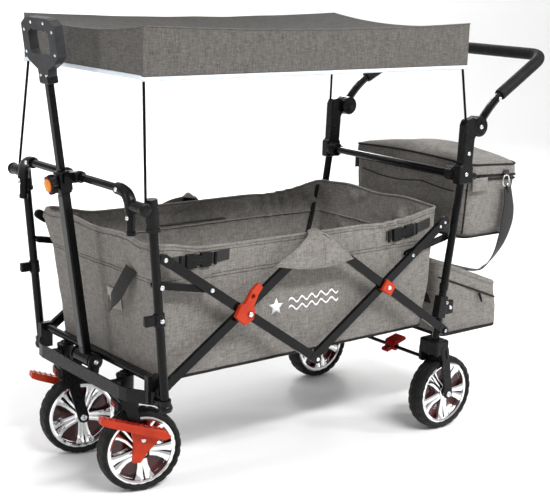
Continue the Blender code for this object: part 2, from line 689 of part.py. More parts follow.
# ---- rear frame -----------------------------------------------------------------------------
def rear_post(tag, side):
    y = REAR_POST_Y * side
    low, high = 0.2120, 0.7200
    post = rod(f"rear_post_{tag}", (rear_x(low), y, low), (rear_x(high), y, high), POST_R, 16)
    post = joined(post, rivet("pin", *REAR_LINK_PIVOT, THIRD[0] - GAP, 0.2460, side, "in"))
    post = joined(post, rivet("pin", REAR_PIVOT_X, PIVOT_Z, REAR_POST_Y, OUTER[1] + GAP, side, "out"))
    finish(post, "steel", (REAR_PIVOT_X, y, PIVOT_Z))


def rear_post_bracket(tag, side):
    """The moulding on top of a rear post: rail collar, pole socket, bag stud and push handle hub."""
    y = REAR_POST_Y * side
    x, z = REAR_RAIL
    px, pz = PUSH_PIVOT
    outline = [(x - 0.013, z - 0.023), (x + 0.034, z - 0.023),
               (x + 0.034, z + 0.017), (x + 0.030, z + 0.021),
               (px - 0.019, pz - 0.030), (px - 0.012, pz - 0.016), (px - 0.016, pz + 0.012),
               (px - 0.028, pz + 0.022), (x + 0.004, pz + 0.018), (x - 0.002, pz + 0.006),
               (x - 0.004, z + 0.026), (x - 0.013, z + 0.019)]
    bracket = side_plate(f"rear_post_bracket_{tag}", outline, *mirrored(0.2330, 0.2575, side))
    bracket = softened(bracket, 0.0025)
    collar = cross_rod("collar", x, z, *mirrored(0.2050, 0.2340, side), 0.0160, 16)
    stud = softened(rod("stud", (x + 0.030, y, z - 0.008), (x + 0.052, y, z - 0.008), 0.0090, 14), 0.001)
    hub = cross_rod("hub", px, pz, *mirrored(0.2230, 0.2364, side), 0.0240, 20)
    bracket = joined(bracket, collar, stud, hub)
    bracket = cut(
        bracket,
        cross_rod("clear", px, pz, *mirrored(0.2368, 0.2700, side), 0.0262, 20),
        rod("post_bore", (rear_x(0.600), y, 0.600), (rear_x(0.7204), y, 0.7204), POST_R + GAP, 16),
        cross_rod("rail_bore", x, z, *mirrored(0.2000, 0.2300, side), RAIL_R + GAP, 16),
        rod("socket", (0.5010, 0.2500 * side, 0.7696), (0.4988, 0.2470 * side, 0.8000), 0.0030 + GAP, 10),
    )
    bracket = joined(bracket, cross_rod("pin", px, pz, *mirrored(0.2350, 0.2490, side), 0.0060, 14))
    finish(bracket, "plastic", (x, y, z))


def rear_fork(tag, side):
    y = REAR_WHEEL_Y * side
    crown_low, crown_high = (0.4260, y - 0.0316, 0.2040), (0.4700, y + 0.0316, 0.2430)
    fork = softened(block(f"rear_fork_{tag}", crown_low, crown_high), 0.004)
    for way in (-1, 1):
        plate = side_plate("plate", slot_outline((0.4560, 0.2180), (REAR_WHEEL_X, HUB_Z), 0.025),
                           *mirrored(PLATE_GAP, PLATE_GAP + PLATE_T, way))
        plate.data.transform(Matrix.Translation((0.0, y, 0.0)))
        fork = joined(fork, plate)
    fork = joined(
        fork,
        cross_rod("axle", REAR_WHEEL_X, HUB_Z, y - 0.0305, y + 0.0305, AXLE_R, 14),
        side_plate("lug", slot_outline((0.4390, 0.2180), (0.4380, 0.1900), 0.020),
                   *mirrored(0.2080, 0.2165, side)),
    )
    fork = cut(
        fork,
        rod("post_bore", (rear_x(0.2110), REAR_POST_Y * side, 0.2110),
            (rear_x(0.2500), REAR_POST_Y * side, 0.2500), POST_R + GAP, 16),
        cross_rod("bar_bore", 0.4380, 0.1900, *mirrored(0.2000, 0.2130, side), 0.0045 + GAP, 14),
    )
    finish(fork, "plastic", (REAR_WHEEL_X, y, HUB_Z))
    wheel(f"rear_{tag}", REAR_WHEEL_X, y, side)


def rear_rail():
    tube = cross_rod("rear_rail", *REAR_RAIL, -0.2295, 0.2295, RAIL_R, 16)
    finish(tube, "steel", (REAR_RAIL[0], 0, REAR_RAIL[1]))


def parking_brake():
    bar_x, bar_z = 0.4380, 0.1900
    rod_obj = cross_rod("brake_bar", bar_x, bar_z, -0.2126, 0.2126, 0.0045, 14)
    finish(rod_obj, "steel", (bar_x, 0, bar_z))
    y = -0.102
    hub = cross_rod("brake_pedal", bar_x, bar_z, y - 0.015, y + 0.015, 0.0105, 16)
    pad = softened(block("pad", (bar_x - 0.010, y - 0.021, bar_z + 0.008),
                         (bar_x + 0.034, y + 0.021, bar_z + 0.020), lean=-14.0), 0.005)
    toe = softened(block("toe", (bar_x - 0.028, y - 0.012, bar_z - 0.010),
                         (bar_x - 0.004, y + 0.012, bar_z + 0.000), lean=-14.0), 0.003)
    hub = joined(hub, pad, toe)
    hub = cut(hub, cross_rod("bore", bar_x, bar_z, y - 0.030, y + 0.030, 0.0045 + GAP, 14))
    finish(hub, "red", (bar_x, 0, bar_z))


def push_handle():
    origin = (PUSH_PIVOT[0], 0, PUSH_PIVOT[1])
    inset = 0.0145
    path = []
    for side in (-1, 1):
        leg = [(PUSH_PIVOT[0], PUSH_Y * side, PUSH_PIVOT[1]), (PUSH_BEND[0], PUSH_Y * side, PUSH_BEND[1]),
               (PUSH_CORNER[0], (PUSH_Y - inset) * side, PUSH_CORNER[1])]
        path += leg if side < 0 else leg[::-1]
    run = rounded_path(path, 0.042, 4)
    tube = path_tube("push_handle_tube", run, TUBE_R, 2)
    for side in (-1, 1):
        hub = softened(cross_rod("hub", *PUSH_PIVOT, *mirrored(0.2372, 0.2540, side), 0.0250, 20), 0.0015)
        tube = joined(tube, hub)
        bore = cross_rod("bore", *PUSH_PIVOT, *mirrored(0.2300, 0.2494, side), 0.0060 + GAP, 14)
        clear = cross_rod("clear", *PUSH_PIVOT, *mirrored(0.2200, 0.2370, side), 0.0260, 20)
        tube = cut(tube, bore, clear)
    finish(tube, "steel", origin)

    middle = run[3:-3]
    foam = path_tube("push_handle_foam", middle, FOAM_R, 2)
    foam = cut(foam, path_tube("inside", run, TUBE_R + GAP, 2))
    finish(foam, "foam", origin)


# ---- cloth ----------------------------------------------------------------------------------
def ring_points(front, rear, half_w, radius, long_steps, short_steps):
    """Points around a rounded rectangle, starting at the front left corner and going rearwards."""
    points = []
    corners = [(front, -half_w), (rear, -half_w), (rear, half_w), (front, half_w)]
    for i, (x, y) in enumerate(corners):
        after = corners[(i + 1) % 4]
        way = Vector((after[0] - x, after[1] - y)).normalized()
        before = corners[i - 1]
        back = Vector((before[0] - x, before[1] - y)).normalized()
        corner = Vector((x, y))
        points.append(corner + back * radius)
        points.append(corner + (back + way) * radius * 0.3)
        start, end = corner + way * radius, Vector(after) - way * radius
        steps = long_steps if i % 2 == 0 else short_steps
        points += [start.lerp(end, k / steps) for k in range(steps)]
    return points


def lofted(name, rings, close_bottom, close_top):
    bm = bmesh.new()
    rows = [[bm.verts.new(p) for p in ring] for ring in rings]
    for below, above in zip(rows, rows[1:]):
        for i, here in enumerate(below):
            after = (i + 1) % len(below)
            bm.faces.new((here, below[after], above[after], above[i]))
    if close_bottom:
        bm.faces.new(list(reversed(rows[0])))
    if close_top:
        bm.faces.new(rows[-1])
    return from_bmesh(name, bm)


def thickened(obj, thickness):
    skin = obj.modifiers.new("thickness", "SOLIDIFY")
    skin.thickness = thickness
    skin.offset = -1.0
    skin.use_even_offset = True
    bpy.context.view_layer.update()
    return evaluated(obj)


def tub():
    levels = 5
    rings = []
    for level in range(levels):
        t = level / (levels - 1)
        front = TUB_FRONT[0] + (TUB_FRONT[1] - TUB_FRONT[0]) * t
        rear = TUB_REAR[0] + (TUB_REAR[1] - TUB_REAR[0]) * t
        half_w = TUB_HALF_W[0] + (TUB_HALF_W[1] - TUB_HALF_W[0]) * t + 0.008 * math.sin(math.pi * t)
        points = ring_points(front, rear, half_w, 0.018, 6, 3)
        middle = (front + rear) / 2
        ring = []
        for x, y in points:
            dip = 0.018 * t * (1 - min(1.0, abs((x - middle) / (rear - middle))) ** 2)
            ring.append((x, y, TUB_BOTTOM_Z + (TUB_RIM_Z + 0.016 - TUB_BOTTOM_Z) * t - dip))
        rings.append(ring)
    shell = thickened(lofted("fabric_tub", rings, True, False), CLOTH_T)
    finish(shell, "cloth", (TUB_FRONT[0], 0, TUB_BOTTOM_Z))

    mat = softened(block("floor_mat", (TUB_FRONT[0] + 0.012, -0.2020, TUB_BOTTOM_Z + CLOTH_T + 0.0006),
                         (TUB_REAR[0] - 0.012, 0.2020, TUB_BOTTOM_Z + CLOTH_T + 0.0090)), 0.003)
    finish(mat, "mat", (TUB_FRONT[0], 0, TUB_BOTTOM_Z + CLOTH_T))


def canopy():
    """One curved sheet held at four corners, with a skirt all round."""
    nx, ny = 12, 6
    bm = bmesh.new()
    grid = []
    for i in range(nx + 1):
        u = i / nx
        row = []
        for j in range(ny + 1):
            v = j / ny
            x = CANOPY_X[0] + (CANOPY_X[1] - CANOPY_X[0]) * u
            y = CANOPY_HALF_W * (2 * v - 1)
            lengthways, across = 1 - (2 * u - 1) ** 2, 1 - (2 * v - 1) ** 2
            drop = (CANOPY_SAG[0] * lengthways + CANOPY_SAG[1] * across
                    + CANOPY_SAG[2] * lengthways * across)
            row.append(bm.verts.new((x, y, CANOPY_TOP - drop)))
        grid.append(row)
    for i in range(nx):
        for j in range(ny):
            bm.faces.new((grid[i][j], grid[i + 1][j], grid[i + 1][j + 1], grid[i][j + 1]))
    around = [grid[i][0] for i in range(nx)] + [grid[nx][j] for j in range(ny)]
    around += [grid[i][ny] for i in range(nx, 0, -1)] + [grid[0][j] for j in range(ny, 0, -1)]
    above = around
    for level in (0.5, 1.0):
        below = []
        for top in around:
            x, y, z = top.co
            below.append(bm.verts.new((x, y, z + (CANOPY_HEM - z) * level)))
        for k, here in enumerate(above):
            after = (k + 1) % len(above)
            bm.faces.new((here, below[k], below[after], above[after]))
        above = below
    sheet = from_bmesh("canopy", bm)
    finish(thickened(sheet, 0.0025), "cloth", (CANOPY_X[0], 0, CANOPY_HEM))


def cooler_bag():
    """The lidded bag behind the rear posts: a soft box with a domed, piped lid."""
    shape = ((0.474, 0.577, 0.736, 0.196, 0.030), (0.480, 0.572, 0.742, 0.206, 0.026),
             (0.560, 0.568, 0.748, 0.210, 0.026), (0.632, 0.568, 0.746, 0.208, 0.026),
             (0.637, 0.565, 0.752, 0.213, 0.028), (0.655, 0.565, 0.752, 0.213, 0.028),
             (0.672, 0.576, 0.742, 0.198, 0.030), (0.684, 0.604, 0.716, 0.150, 0.030))
    rings = []
    for z, front, rear, half_w, radius in shape:
        rings.append([(x, y, z) for x, y in ring_points(front, rear, half_w, radius, 3, 6)])
    finish(lofted("cooler_bag", rings, True, True), "cloth", (0.568, 0, 0.474))


def rear_pocket():
    """The zipped storage pocket hung low behind the tub."""
    low, high = (0.512, 0.736), (0.480, 0.718)
    rings = []
    for t in (0.0, 0.04, 0.5, 0.93, 1.0):
        shrink = 0.006 if t in (0.0, 1.0) else 0.0
        front = low[0] + (high[0] - low[0]) * t + shrink
        rear = low[1] + (high[1] - low[1]) * t - shrink
        ring = []
        for x, y in ring_points(front, rear, 0.196 - shrink, 0.018, 4, 4):
            roof = 0.426 + (0.336 - 0.426) * (x - high[0]) / (high[1] - high[0])
            ring.append((x, y, 0.222 + (roof - 0.222) * t))
        rings.append(ring)
    finish(lofted("rear_pocket", rings, True, True), "cloth", (0.480, 0, 0.222))


# ---- build ----------------------------------------------------------------------------------
for tag, side in SIDES:
    front_post(tag, side)
    front_post_cap(tag, side)
    canopy_poles(tag, side)
    scissors(tag, side)
    fold_latch(tag, side)
    caster(tag, side)
    rear_post(tag, side)
    rear_post_bracket(tag, side)
    rear_fork(tag, side)
front_beam()
front_rail()
pull_handle()
rear_rail()
parking_brake()
push_handle()
tub()
canopy()
cooler_bag()
rear_pocket()
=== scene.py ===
"""Looks of the folding kids pull wagon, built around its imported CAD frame."""

import math

import bmesh
import bpy
from mathutils import Matrix, Vector, noise


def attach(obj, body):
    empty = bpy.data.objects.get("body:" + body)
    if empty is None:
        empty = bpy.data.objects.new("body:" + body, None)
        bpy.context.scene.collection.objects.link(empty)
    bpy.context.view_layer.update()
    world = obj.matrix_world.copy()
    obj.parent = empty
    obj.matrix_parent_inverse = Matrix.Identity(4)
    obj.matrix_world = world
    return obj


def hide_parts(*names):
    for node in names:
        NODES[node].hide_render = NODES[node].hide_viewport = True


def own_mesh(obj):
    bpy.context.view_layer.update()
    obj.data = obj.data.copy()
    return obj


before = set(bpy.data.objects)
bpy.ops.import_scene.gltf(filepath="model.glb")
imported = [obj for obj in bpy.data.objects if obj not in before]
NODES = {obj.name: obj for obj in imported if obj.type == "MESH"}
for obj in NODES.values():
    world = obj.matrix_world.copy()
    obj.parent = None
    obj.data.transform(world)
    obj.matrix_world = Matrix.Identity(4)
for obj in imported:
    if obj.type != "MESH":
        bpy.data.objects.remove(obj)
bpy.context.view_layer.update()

SHIFT = Vector((-0.1456, 0.0, -0.0055))      # from the CAD source's zero to the frame's
SIDES = (("left", -1), ("right", 1))

# scissor geometry, as in the CAD source
PIVOT_Z, FRONT_X, HALF_BAR = 0.268, -0.372, 0.2503
SLOPE = math.radians(34.2)
RUN, RISE = HALF_BAR * math.cos(SLOPE), HALF_BAR * math.sin(SLOPE)
CROSS_Z = PIVOT_Z + RISE
X1, X2 = FRONT_X + RUN, FRONT_X + 3 * RUN
MID_X, REAR_X = FRONT_X + 2 * RUN, FRONT_X + 4 * RUN


# ---- materials ------------------------------------------------------------------------------
class Shader:
    """A Principled material with a few helpers for procedural detail in object space."""

    def __init__(self, name, roughness=0.5, metallic=0.0, **sockets):
        self.made = bpy.data.materials.new(name)
        self.made.use_nodes = True
        self.tree = self.made.node_tree
        self.shader = self.tree.nodes["Principled BSDF"]
        self.shader.inputs["Roughness"].default_value = roughness
        self.shader.inputs["Metallic"].default_value = metallic
        for key, value in sockets.items():
            self.shader.inputs[key.replace("_", " ")].default_value = value
        self.coords = self.tree.nodes.new("ShaderNodeTexCoord").outputs["Object"]

    def link(self, a, b):
        self.tree.links.new(a, b)

    def node(self, kind, **inputs):
        made = self.tree.nodes.new(kind)
        for key, value in inputs.items():
            made.inputs[key.replace("_", " ")].default_value = value
        return made

    def texture(self, kind, mapping, **inputs):
        placed = self.node("ShaderNodeMapping", **mapping)
        self.link(self.coords, placed.inputs["Vector"])
        made = self.node(kind, **inputs)
        self.link(placed.outputs["Vector"], made.inputs["Vector"])
        return made.outputs["Fac"]

    def noise(self, scale, stretch=(1, 1, 1), detail=2.0):
        return self.texture("ShaderNodeTexNoise", {"Scale": stretch}, Scale=scale, Detail=detail,
                            Roughness=0.5)

    def wave(self, scale, turn=(0, 0, 0)):
        return self.texture("ShaderNodeTexWave", {"Rotation": turn}, Scale=scale, Distortion=0.0)

    def mixed(self, a, b, share=0.5):
        made = self.tree.nodes.new("ShaderNodeMix")
        made.inputs["Factor"].default_value = share
        self.link(a, made.inputs["A"])
        self.link(b, made.inputs["B"])
        return made.outputs["Result"]

    def ramp(self, source, low, high, at=(0.3, 0.7)):
        made = self.tree.nodes.new("ShaderNodeValToRGB")
        made.color_ramp.elements[0].position = at[0]
        made.color_ramp.elements[1].position = at[1]
        made.color_ramp.elements[0].color = (*low, 1.0)
        made.color_ramp.elements[1].color = (*high, 1.0)
        self.link(source, made.inputs["Fac"])
        return made.outputs["Color"]

    def colour(self, source, low, high, at=(0.3, 0.7)):
        self.link(self.ramp(source, low, high, at), self.shader.inputs["Base Color"])

    def rough(self, source, low, high):
        self.link(self.ramp(source, (low,) * 3, (high,) * 3), self.shader.inputs["Roughness"])

    def bump(self, source, strength, distance=0.001):
        made = self.node("ShaderNodeBump", Strength=strength, Distance=distance)
        self.link(source, made.inputs["Height"])
        self.link(made.outputs["Normal"], self.shader.inputs["Normal"])
        return self.made


def fabric(name, dark, light, sheen=0.12):
    look = Shader(name, roughness=0.95, Sheen_Weight=sheen, Sheen_Roughness=0.5, Specular_IOR_Level=0.15)
    fleck = look.noise(700, detail=2.0)
    upright = look.noise(330, stretch=(1, 1, 0.16), detail=2.0)
    level = look.noise(330, stretch=(0.16, 0.16, 1), detail=2.0)
    threads = look.mixed(upright, level, 0.5)
    look.colour(look.mixed(fleck, threads, 0.5), dark, light, at=(0.34, 0.66))
    weave = look.mixed(look.wave(260, turn=(0, math.radians(90), 0)),
                       look.wave(260, turn=(0, 0, math.radians(45))), 0.5)
    return look.bump(look.mixed(weave, fleck, 0.5), 0.35, 0.0008)


def painted(name, dark, light, low=0.2, high=0.36, coat=0.3, shine=0.3):
    look = Shader(name, Coat_Weight=coat, Coat_Roughness=0.08, Specular_IOR_Level=shine)
    look.colour(look.noise(35), dark, light)
    look.rough(look.noise(60, detail=2.0), low, high)
    return look.bump(look.noise(1400), 0.004, 0.0001)


def moulded(name, dark, light, low=0.38, high=0.58, grain=0.22):
    look = Shader(name, Specular_IOR_Level=0.16)
    look.colour(look.noise(45, detail=3.0), dark, light)
    look.rough(look.noise(120, detail=3.0), low, high)
    return look.bump(look.noise(2200, detail=1.0), grain, 0.0004)


def metal(name, dark, light, low, high, stretch=(1, 1, 1)):
    look = Shader(name, metallic=1.0)
    look.colour(look.noise(60, stretch), dark, light)
    look.rough(look.noise(140, stretch, detail=3.0), low, high)
    return look.bump(look.noise(700, stretch), 0.03, 0.0003)


def ribbed(name, dark, light, period, turn):
    look = Shader(name, roughness=0.8, Sheen_Weight=0.15)
    look.colour(look.noise(400), dark, light)
    return look.bump(look.mixed(look.wave(1.0 / period / 6.0, turn), look.noise(900), 0.35), 0.5, 0.0008)


CLOTH = fabric("melange_cloth", (0.075, 0.07, 0.064), (0.3, 0.283, 0.262))
# The lining is the tub's cloth made lighter: painted light on the inner walls.
CLOTH_IN_PAINTED_LIGHT = fabric("melange_lining_painted_light", (0.095, 0.089, 0.083), (0.365, 0.346, 0.322))
# Roof cloths: the tub's cloth darkened as painted shade, the top far darker than the sides.
ROOF_TOP_PAINTED_SHADE = fabric("roof_cloth_painted_shade", (0.018, 0.0167, 0.0152), (0.076, 0.071, 0.066), sheen=0.05)
ROOF_SIDE_PAINTED_SHADE = fabric("roof_side_cloth_painted_shade", (0.04, 0.037, 0.034), (0.165, 0.155, 0.143))
MAT = fabric("mat_cloth", (0.006, 0.006, 0.0065), (0.022, 0.022, 0.023), sheen=0.05)
PIPING = fabric("dark_piping", (0.007, 0.007, 0.007), (0.026, 0.025, 0.025), sheen=0.05)
HEM = fabric("pale_hem", (0.62, 0.68, 0.74), (0.8, 0.86, 0.92), sheen=0.05)
THREAD = fabric("stitch_thread", (0.02, 0.019, 0.018), (0.055, 0.052, 0.049), sheen=0.0)
STEEL = painted("black_powder_coat", (0.0025, 0.0025, 0.003), (0.0045, 0.0045, 0.005), 0.16, 0.24,
                coat=0.0, shine=0.14)
BAR_GLOSS = painted("glossy_bar_coat", (0.002, 0.002, 0.0024), (0.004, 0.004, 0.0045), 0.14, 0.2,
                    coat=0.1, shine=0.12)
GREY_PAINT = painted("grey_painted_face", (0.03, 0.031, 0.032), (0.042, 0.043, 0.045), 0.4, 0.5, 0.1)
PLASTIC = moulded("charcoal_plastic", (0.0045, 0.0045, 0.005), (0.0085, 0.0085, 0.009), 0.24, 0.36, 0.06)
BLACK_PLASTIC = moulded("black_plastic", (0.003, 0.003, 0.0035), (0.006, 0.006, 0.0065), 0.22, 0.34, 0.06)
GRIP_PLASTIC = moulded("grip_plastic", (0.026, 0.027, 0.029), (0.038, 0.039, 0.042), 0.4, 0.52, 0.12)
RED = moulded("orange_red_plastic", (0.4, 0.03, 0.009), (0.48, 0.042, 0.014), 0.26, 0.38, 0.05)
DARK_RED = moulded("dark_red_plastic", (0.2, 0.004, 0.004), (0.3, 0.007, 0.006), 0.26, 0.38, 0.05)
RED_TOP = moulded("red_pad_plastic", (0.38, 0.006, 0.008), (0.46, 0.01, 0.012), 0.28, 0.4, 0.05)
ORANGE = moulded("knob_orange", (0.66, 0.235, 0.018), (0.76, 0.29, 0.03), 0.25, 0.36, 0.03)
RUBBER = moulded("tread_rubber", (0.0075, 0.0073, 0.007), (0.015, 0.0146, 0.014), 0.46, 0.62, 0.15)
RIM = metal("plated_rim", (0.88, 0.89, 0.9), (0.97, 0.97, 0.98), 0.05, 0.14)
# Dark red for the rim's windows: painted shade, tinted red as a painted reflection.
RIM_WINDOW_SHADE_AND_REFLECTION = painted("rim_window_painted_shade_and_reflection", (0.02, 0.003, 0.003), (0.075, 0.008, 0.007), 0.1, 0.2, 0.5)
BOLT = metal("zinc_bolt", (0.62, 0.63, 0.65), (0.82, 0.83, 0.85), 0.18, 0.34)
FOAM = moulded("grip_foam", (0.006, 0.006, 0.0065), (0.012, 0.012, 0.0125), 0.5, 0.66, 0.4)
WEBBING = ribbed("black_webbing", (0.004, 0.004, 0.004), (0.012, 0.012, 0.012), 0.0016,
                 turn=(0, math.radians(90), 0))
PRINT = moulded("white_print", (0.78, 0.78, 0.78), (0.88, 0.88, 0.88), 0.6, 0.8, 0.2)


# ---- small sums -----------------------------------------------------------------------------
def between(a, b, t):
    return a + (b - a) * t


def clamped(t):
    return max(0.0, min(1.0, t))


def smooth_step(t):
    t = clamped(t)
    return t * t * (3 - 2 * t)


def arch(t):
    """0 at both ends of a run from 0 to 1, and 1 in its middle."""
    return math.sin(math.pi * t)


def bell(x, middle, width):
    return math.exp(-((x - middle) / width) ** 2)


def ripple(x, y, z):
    return noise.noise(Vector((x, y, z)))


def both(*patterns):
    return [pattern % tag for pattern in patterns for tag, _ in SIDES]


# ---- mesh helpers ---------------------------------------------------------------------------
def made_mesh(name, bm, material, smooth=38.0):
    """An object in the frame's own place from a bmesh drawn in the CAD source's coordinates."""
    bmesh.ops.recalc_face_normals(bm, faces=bm.faces)
    bmesh.ops.translate(bm, vec=SHIFT, verts=bm.verts)
    mesh = bpy.data.meshes.new(name)
    bm.to_mesh(mesh)
    bm.free()
    obj = bpy.data.objects.new(name, mesh)
    bpy.context.scene.collection.objects.link(obj)
    for look in material if isinstance(material, list) else [material]:
        mesh.materials.append(look)
    mesh.shade_smooth()
    if smooth < 180.0:
        mesh.set_sharp_from_angle(angle=math.radians(smooth))
    return obj


def settled(obj):
    """Apply the object's modifiers."""
    graph = bpy.context.evaluated_depsgraph_get()
    mesh = bpy.data.meshes.new_from_object(obj.evaluated_get(graph))
    old = obj.data
    obj.modifiers.clear()
    obj.data = mesh
    bpy.data.meshes.remove(old)
    return obj


def modified(obj, kind, **values):
    made = obj.modifiers.new(kind.lower(), kind)
    for key, value in values.items():
        setattr(made, key, value)
    return obj


def rounded(obj, width, segments, angle):
    return modified(obj, "BEVEL", width=width, segments=segments, limit_method="ANGLE",
                    angle_limit=math.radians(angle), use_clamp_overlap=True)


def stands_for(obj, node):
    """The object takes a CAD node's place."""
    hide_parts(node)
    return obj


def carried(obj, by):
    """Put a piece on a body, or hand it to the function that does so."""
    return by(obj) if callable(by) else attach(obj, by)


def bridge(bm, below, above, index=0):
    """Faces between two rings with the same number of vertices."""
    for i in range(len(below)):
        j = (i + 1) % len(below)
        bm.faces.new((below[i], below[j], above[j], above[i])).material_index = index


def close_ends(bm, rows):
    bm.faces.new(list(reversed(rows[0])))
    bm.faces.new(rows[-1])


def grid_faces(bm, grid, index=0):
    for low, high in zip(grid, grid[1:]):
        for j in range(len(low) - 1):
            bm.faces.new((low[j], high[j], high[j + 1], low[j + 1])).material_index = index


def grid_border(nx, ny):
    """The places round the edge of a grid, in order."""
    return ([(i, 0) for i in range(nx)] + [(nx, j) for j in range(ny)]
            + [(i, ny) for i in range(nx, 0, -1)] + [(0, j) for j in range(ny, 0, -1)])


def ring_frame(centre, axis):
    axis = Vector(axis).normalized()
    side = axis.cross(Vector((0, 0, 1)) if abs(axis.z) < 0.9 else Vector((1, 0, 0))).normalized()
    return Vector(centre), side, axis.cross(side), axis


def add_turned(bm, profile, centre, axis, steps, wobble=None, ring=False):
    """Sweep a (radius, height) profile round an axis; a ring joins its last row to its first."""
    centre, side, up, axis = ring_frame(centre, axis)
    rows = []
    for r, h in profile:
        row = []
        for i in range(steps):
            turn = math.tau * i / steps
            reach = r if wobble is None else r + wobble(turn, r, h)
            spoke = side * math.cos(turn) + up * math.sin(turn)
            row.append(bm.verts.new(centre + spoke * reach + axis * h))
        rows.append(row)
    for below, above in zip(rows, rows[1:]):
        bridge(bm, below, above)
    if ring:
        bridge(bm, rows[-1], rows[0])
    return rows


def turned(name, profile, centre, axis, material, steps, by, wobble=None):
    bm = bmesh.new()
    close_ends(bm, add_turned(bm, profile, centre, axis, steps, wobble))
    return carried(made_mesh(name, bm, material), by)


def turned_ring(name, profile, centre, axis, material, steps, by):
    bm = bmesh.new()
    add_turned(bm, profile, centre, axis, steps, ring=True)
    return carried(made_mesh(name, bm, material), by)


def bolts(name, spots, body, radius=0.0052, height=0.0032):
    """Domed button heads with a shallow recess, one at each (place, axis)."""
    bm = bmesh.new()
    for at, axis in spots:
        profile = [(radius, 0.0), (radius, height * 0.35), (radius * 0.86, height * 0.75),
                   (radius * 0.55, height), (radius * 0.34, height), (radius * 0.3, height * 0.55)]
        close_ends(bm, add_turned(bm, profile, at, axis, 16))
    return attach(made_mesh(name, bm, BOLT), body)


def facing(axis, *places):
    return [(at, axis) for at in places]


def tube_mesh(bm, path, radius, sides, flat=1.0, closed=False):
    """A tube along points; flat squeezes it square to the up direction."""
    path = [Vector(p) for p in path]
    rows = []
    previous = None
    for i, here in enumerate(path):
        before = path[i - 1] if i or closed else here
        after = path[(i + 1) % len(path)] if i < len(path) - 1 or closed else here
        way = (after - before).normalized()
        if previous is None:
            previous = Vector((0, 0, 1)) if abs(way.z) < 0.9 else Vector((1, 0, 0))
        side = way.cross(previous).normalized()
        lift = side.cross(way).normalized()
        previous = lift
        reach = radius[i] if isinstance(radius, list) else radius
        rows.append([
            bm.verts.new(here + side * math.cos(math.tau * k / sides) * reach
                         + lift * math.sin(math.tau * k / sides) * reach * flat)
            for k in range(sides)
        ])
    for below, above in zip(rows, rows[1:]):
        bridge(bm, below, above)
    if closed:
        bridge(bm, rows[-1], rows[0])
    else:
        close_ends(bm, rows)


def tubes(name, runs, radius, sides, material, by, smooth=80.0, **shape):
    """One piece with a tube along each run of points."""
    bm = bmesh.new()
    for run in runs:
        tube_mesh(bm, run, radius, sides, **shape)
    return carried(made_mesh(name, bm, material, smooth), by)


def rounded_path(corners, radius, steps):
    corners = [Vector(c) for c in corners]
    run = [corners[0]]
    for before, corner, after in zip(corners, corners[1:], corners[2:]):
        start = corner + (before - corner).normalized() * radius
        end = corner + (after - corner).normalized() * radius
        for i in range(steps + 1):
            t = i / steps
            run.append(start * (1 - t) ** 2 + corner * 2 * t * (1 - t) + end * t * t)
    return run + [corners[-1]]


def smoothed(points, rounds):
    """Cut the corners of a run of points, keeping its ends."""
    points = [Vector(p) for p in points]
    for _ in range(rounds):
        run = [points[0]]
        for a, b in zip(points, points[1:]):
            run += [a * 0.75 + b * 0.25, a * 0.25 + b * 0.75]
        points = run + [points[-1]]
    return points


def dense(points, gap):
    """The same run of points with no step longer than gap."""
    points = [Vector(p) for p in points]
    run = [points[0]]
    for a, b in zip(points, points[1:]):
        steps = max(1, math.ceil((b - a).length / gap))
        run += [a.lerp(b, (k + 1) / steps) for k in range(steps)]
    return run


def heading(path, i):
    return (path[min(i + 1, len(path) - 1)] - path[max(i - 1, 0)]).normalized()


def strap(name, path, widths, normals, thick, by):
    """A flat web band along a path; widths are vectors across it, normals point out of its face."""
    bm = bmesh.new()
    rows = []
    for here, across, out in zip(path, widths, normals):
        rows.append([bm.verts.new(here + across * u + out * thick * v)
                     for u, v in ((-0.5, 0), (-0.5, 1), (-0.44, 1.25), (0.44, 1.25), (0.5, 1), (0.5, 0))])
    for below, above in zip(rows, rows[1:]):
        bridge(bm, below, above)
    close_ends(bm, rows)
    return carried(made_mesh(name, bm, WEBBING, 60.0), by)


def box_mesh(bm, low, high, turn=None, about=None):
    low, high = Vector(low), Vector(high)
    size = Matrix.Diagonal((*(high - low), 1.0))
    place = Matrix.Translation((low + high) / 2)
    if turn is not None:
        spot = Vector(about) if about is not None else (low + high) / 2
        place = Matrix.Translation(spot) @ turn @ Matrix.Translation(-spot) @ place
    return bmesh.ops.create_cube(bm, size=1.0, matrix=place @ size)["verts"]


def blocks(name, spans, material, bevel, by, segments=3, place=None):
    """Rounded boxes as one piece; a span is (low, high), then a turn and the point it turns about if any."""
    bm = bmesh.new()
    for span in spans:
        for v in box_mesh(bm, *span):
            if place:
                v.co = place(v.co)
    return carried(rounded(made_mesh(name, bm, material), bevel, segments, 30.0), by)


def mirrored(low, high, side):
    """A box's two corners on either side of the wagon, with y counted outwards."""
    y0, y1 = sorted((low[1] * side, high[1] * side))
    return (low[0], y0, low[2]), (high[0], y1, high[2])


# ---- carried-over CAD nodes -----------------------------------------------------------------
def paint(names, material, bevel=None, segments=2):
    for name in names:
        obj = NODES[name]
        obj.data.materials.clear()
        obj.data.materials.append(material)
        if bevel:
            rounded(obj, bevel, segments, 42.0)


paint(both("scissor_front_inner_%s", "scissor_front_outer_%s", "scissor_rear_inner_%s",
           "scissor_rear_outer_%s"), BAR_GLOSS, 0.0034, 4)
paint(both("link_front_%s", "link_rear_%s"), STEEL, 0.0016)
paint(both("front_post_%s", "rear_post_%s", "canopy_pole_front_%s", "canopy_pole_rear_%s"), STEEL)
paint(["front_cross_tube", "front_rail", "rear_rail", "brake_bar", "push_handle_tube"], STEEL)
paint(["handle_lower_tube", "handle_upper_tube"], STEEL, 0.0012)
paint(["front_beam"], PLASTIC, 0.0016)
paint(both("front_post_cap_%s", "rear_post_bracket_%s"), PLASTIC, 0.0036, 3)
paint(both("caster_fork_%s", "rear_fork_%s"), BLACK_PLASTIC, 0.0014)
paint(["handle_grip"], GRIP_PLASTIC, 0.0048, 4)
paint(both("fold_latch_%s", "caster_lever_%s"), RED, 0.001)
paint(["brake_pedal"], DARK_RED, 0.001)


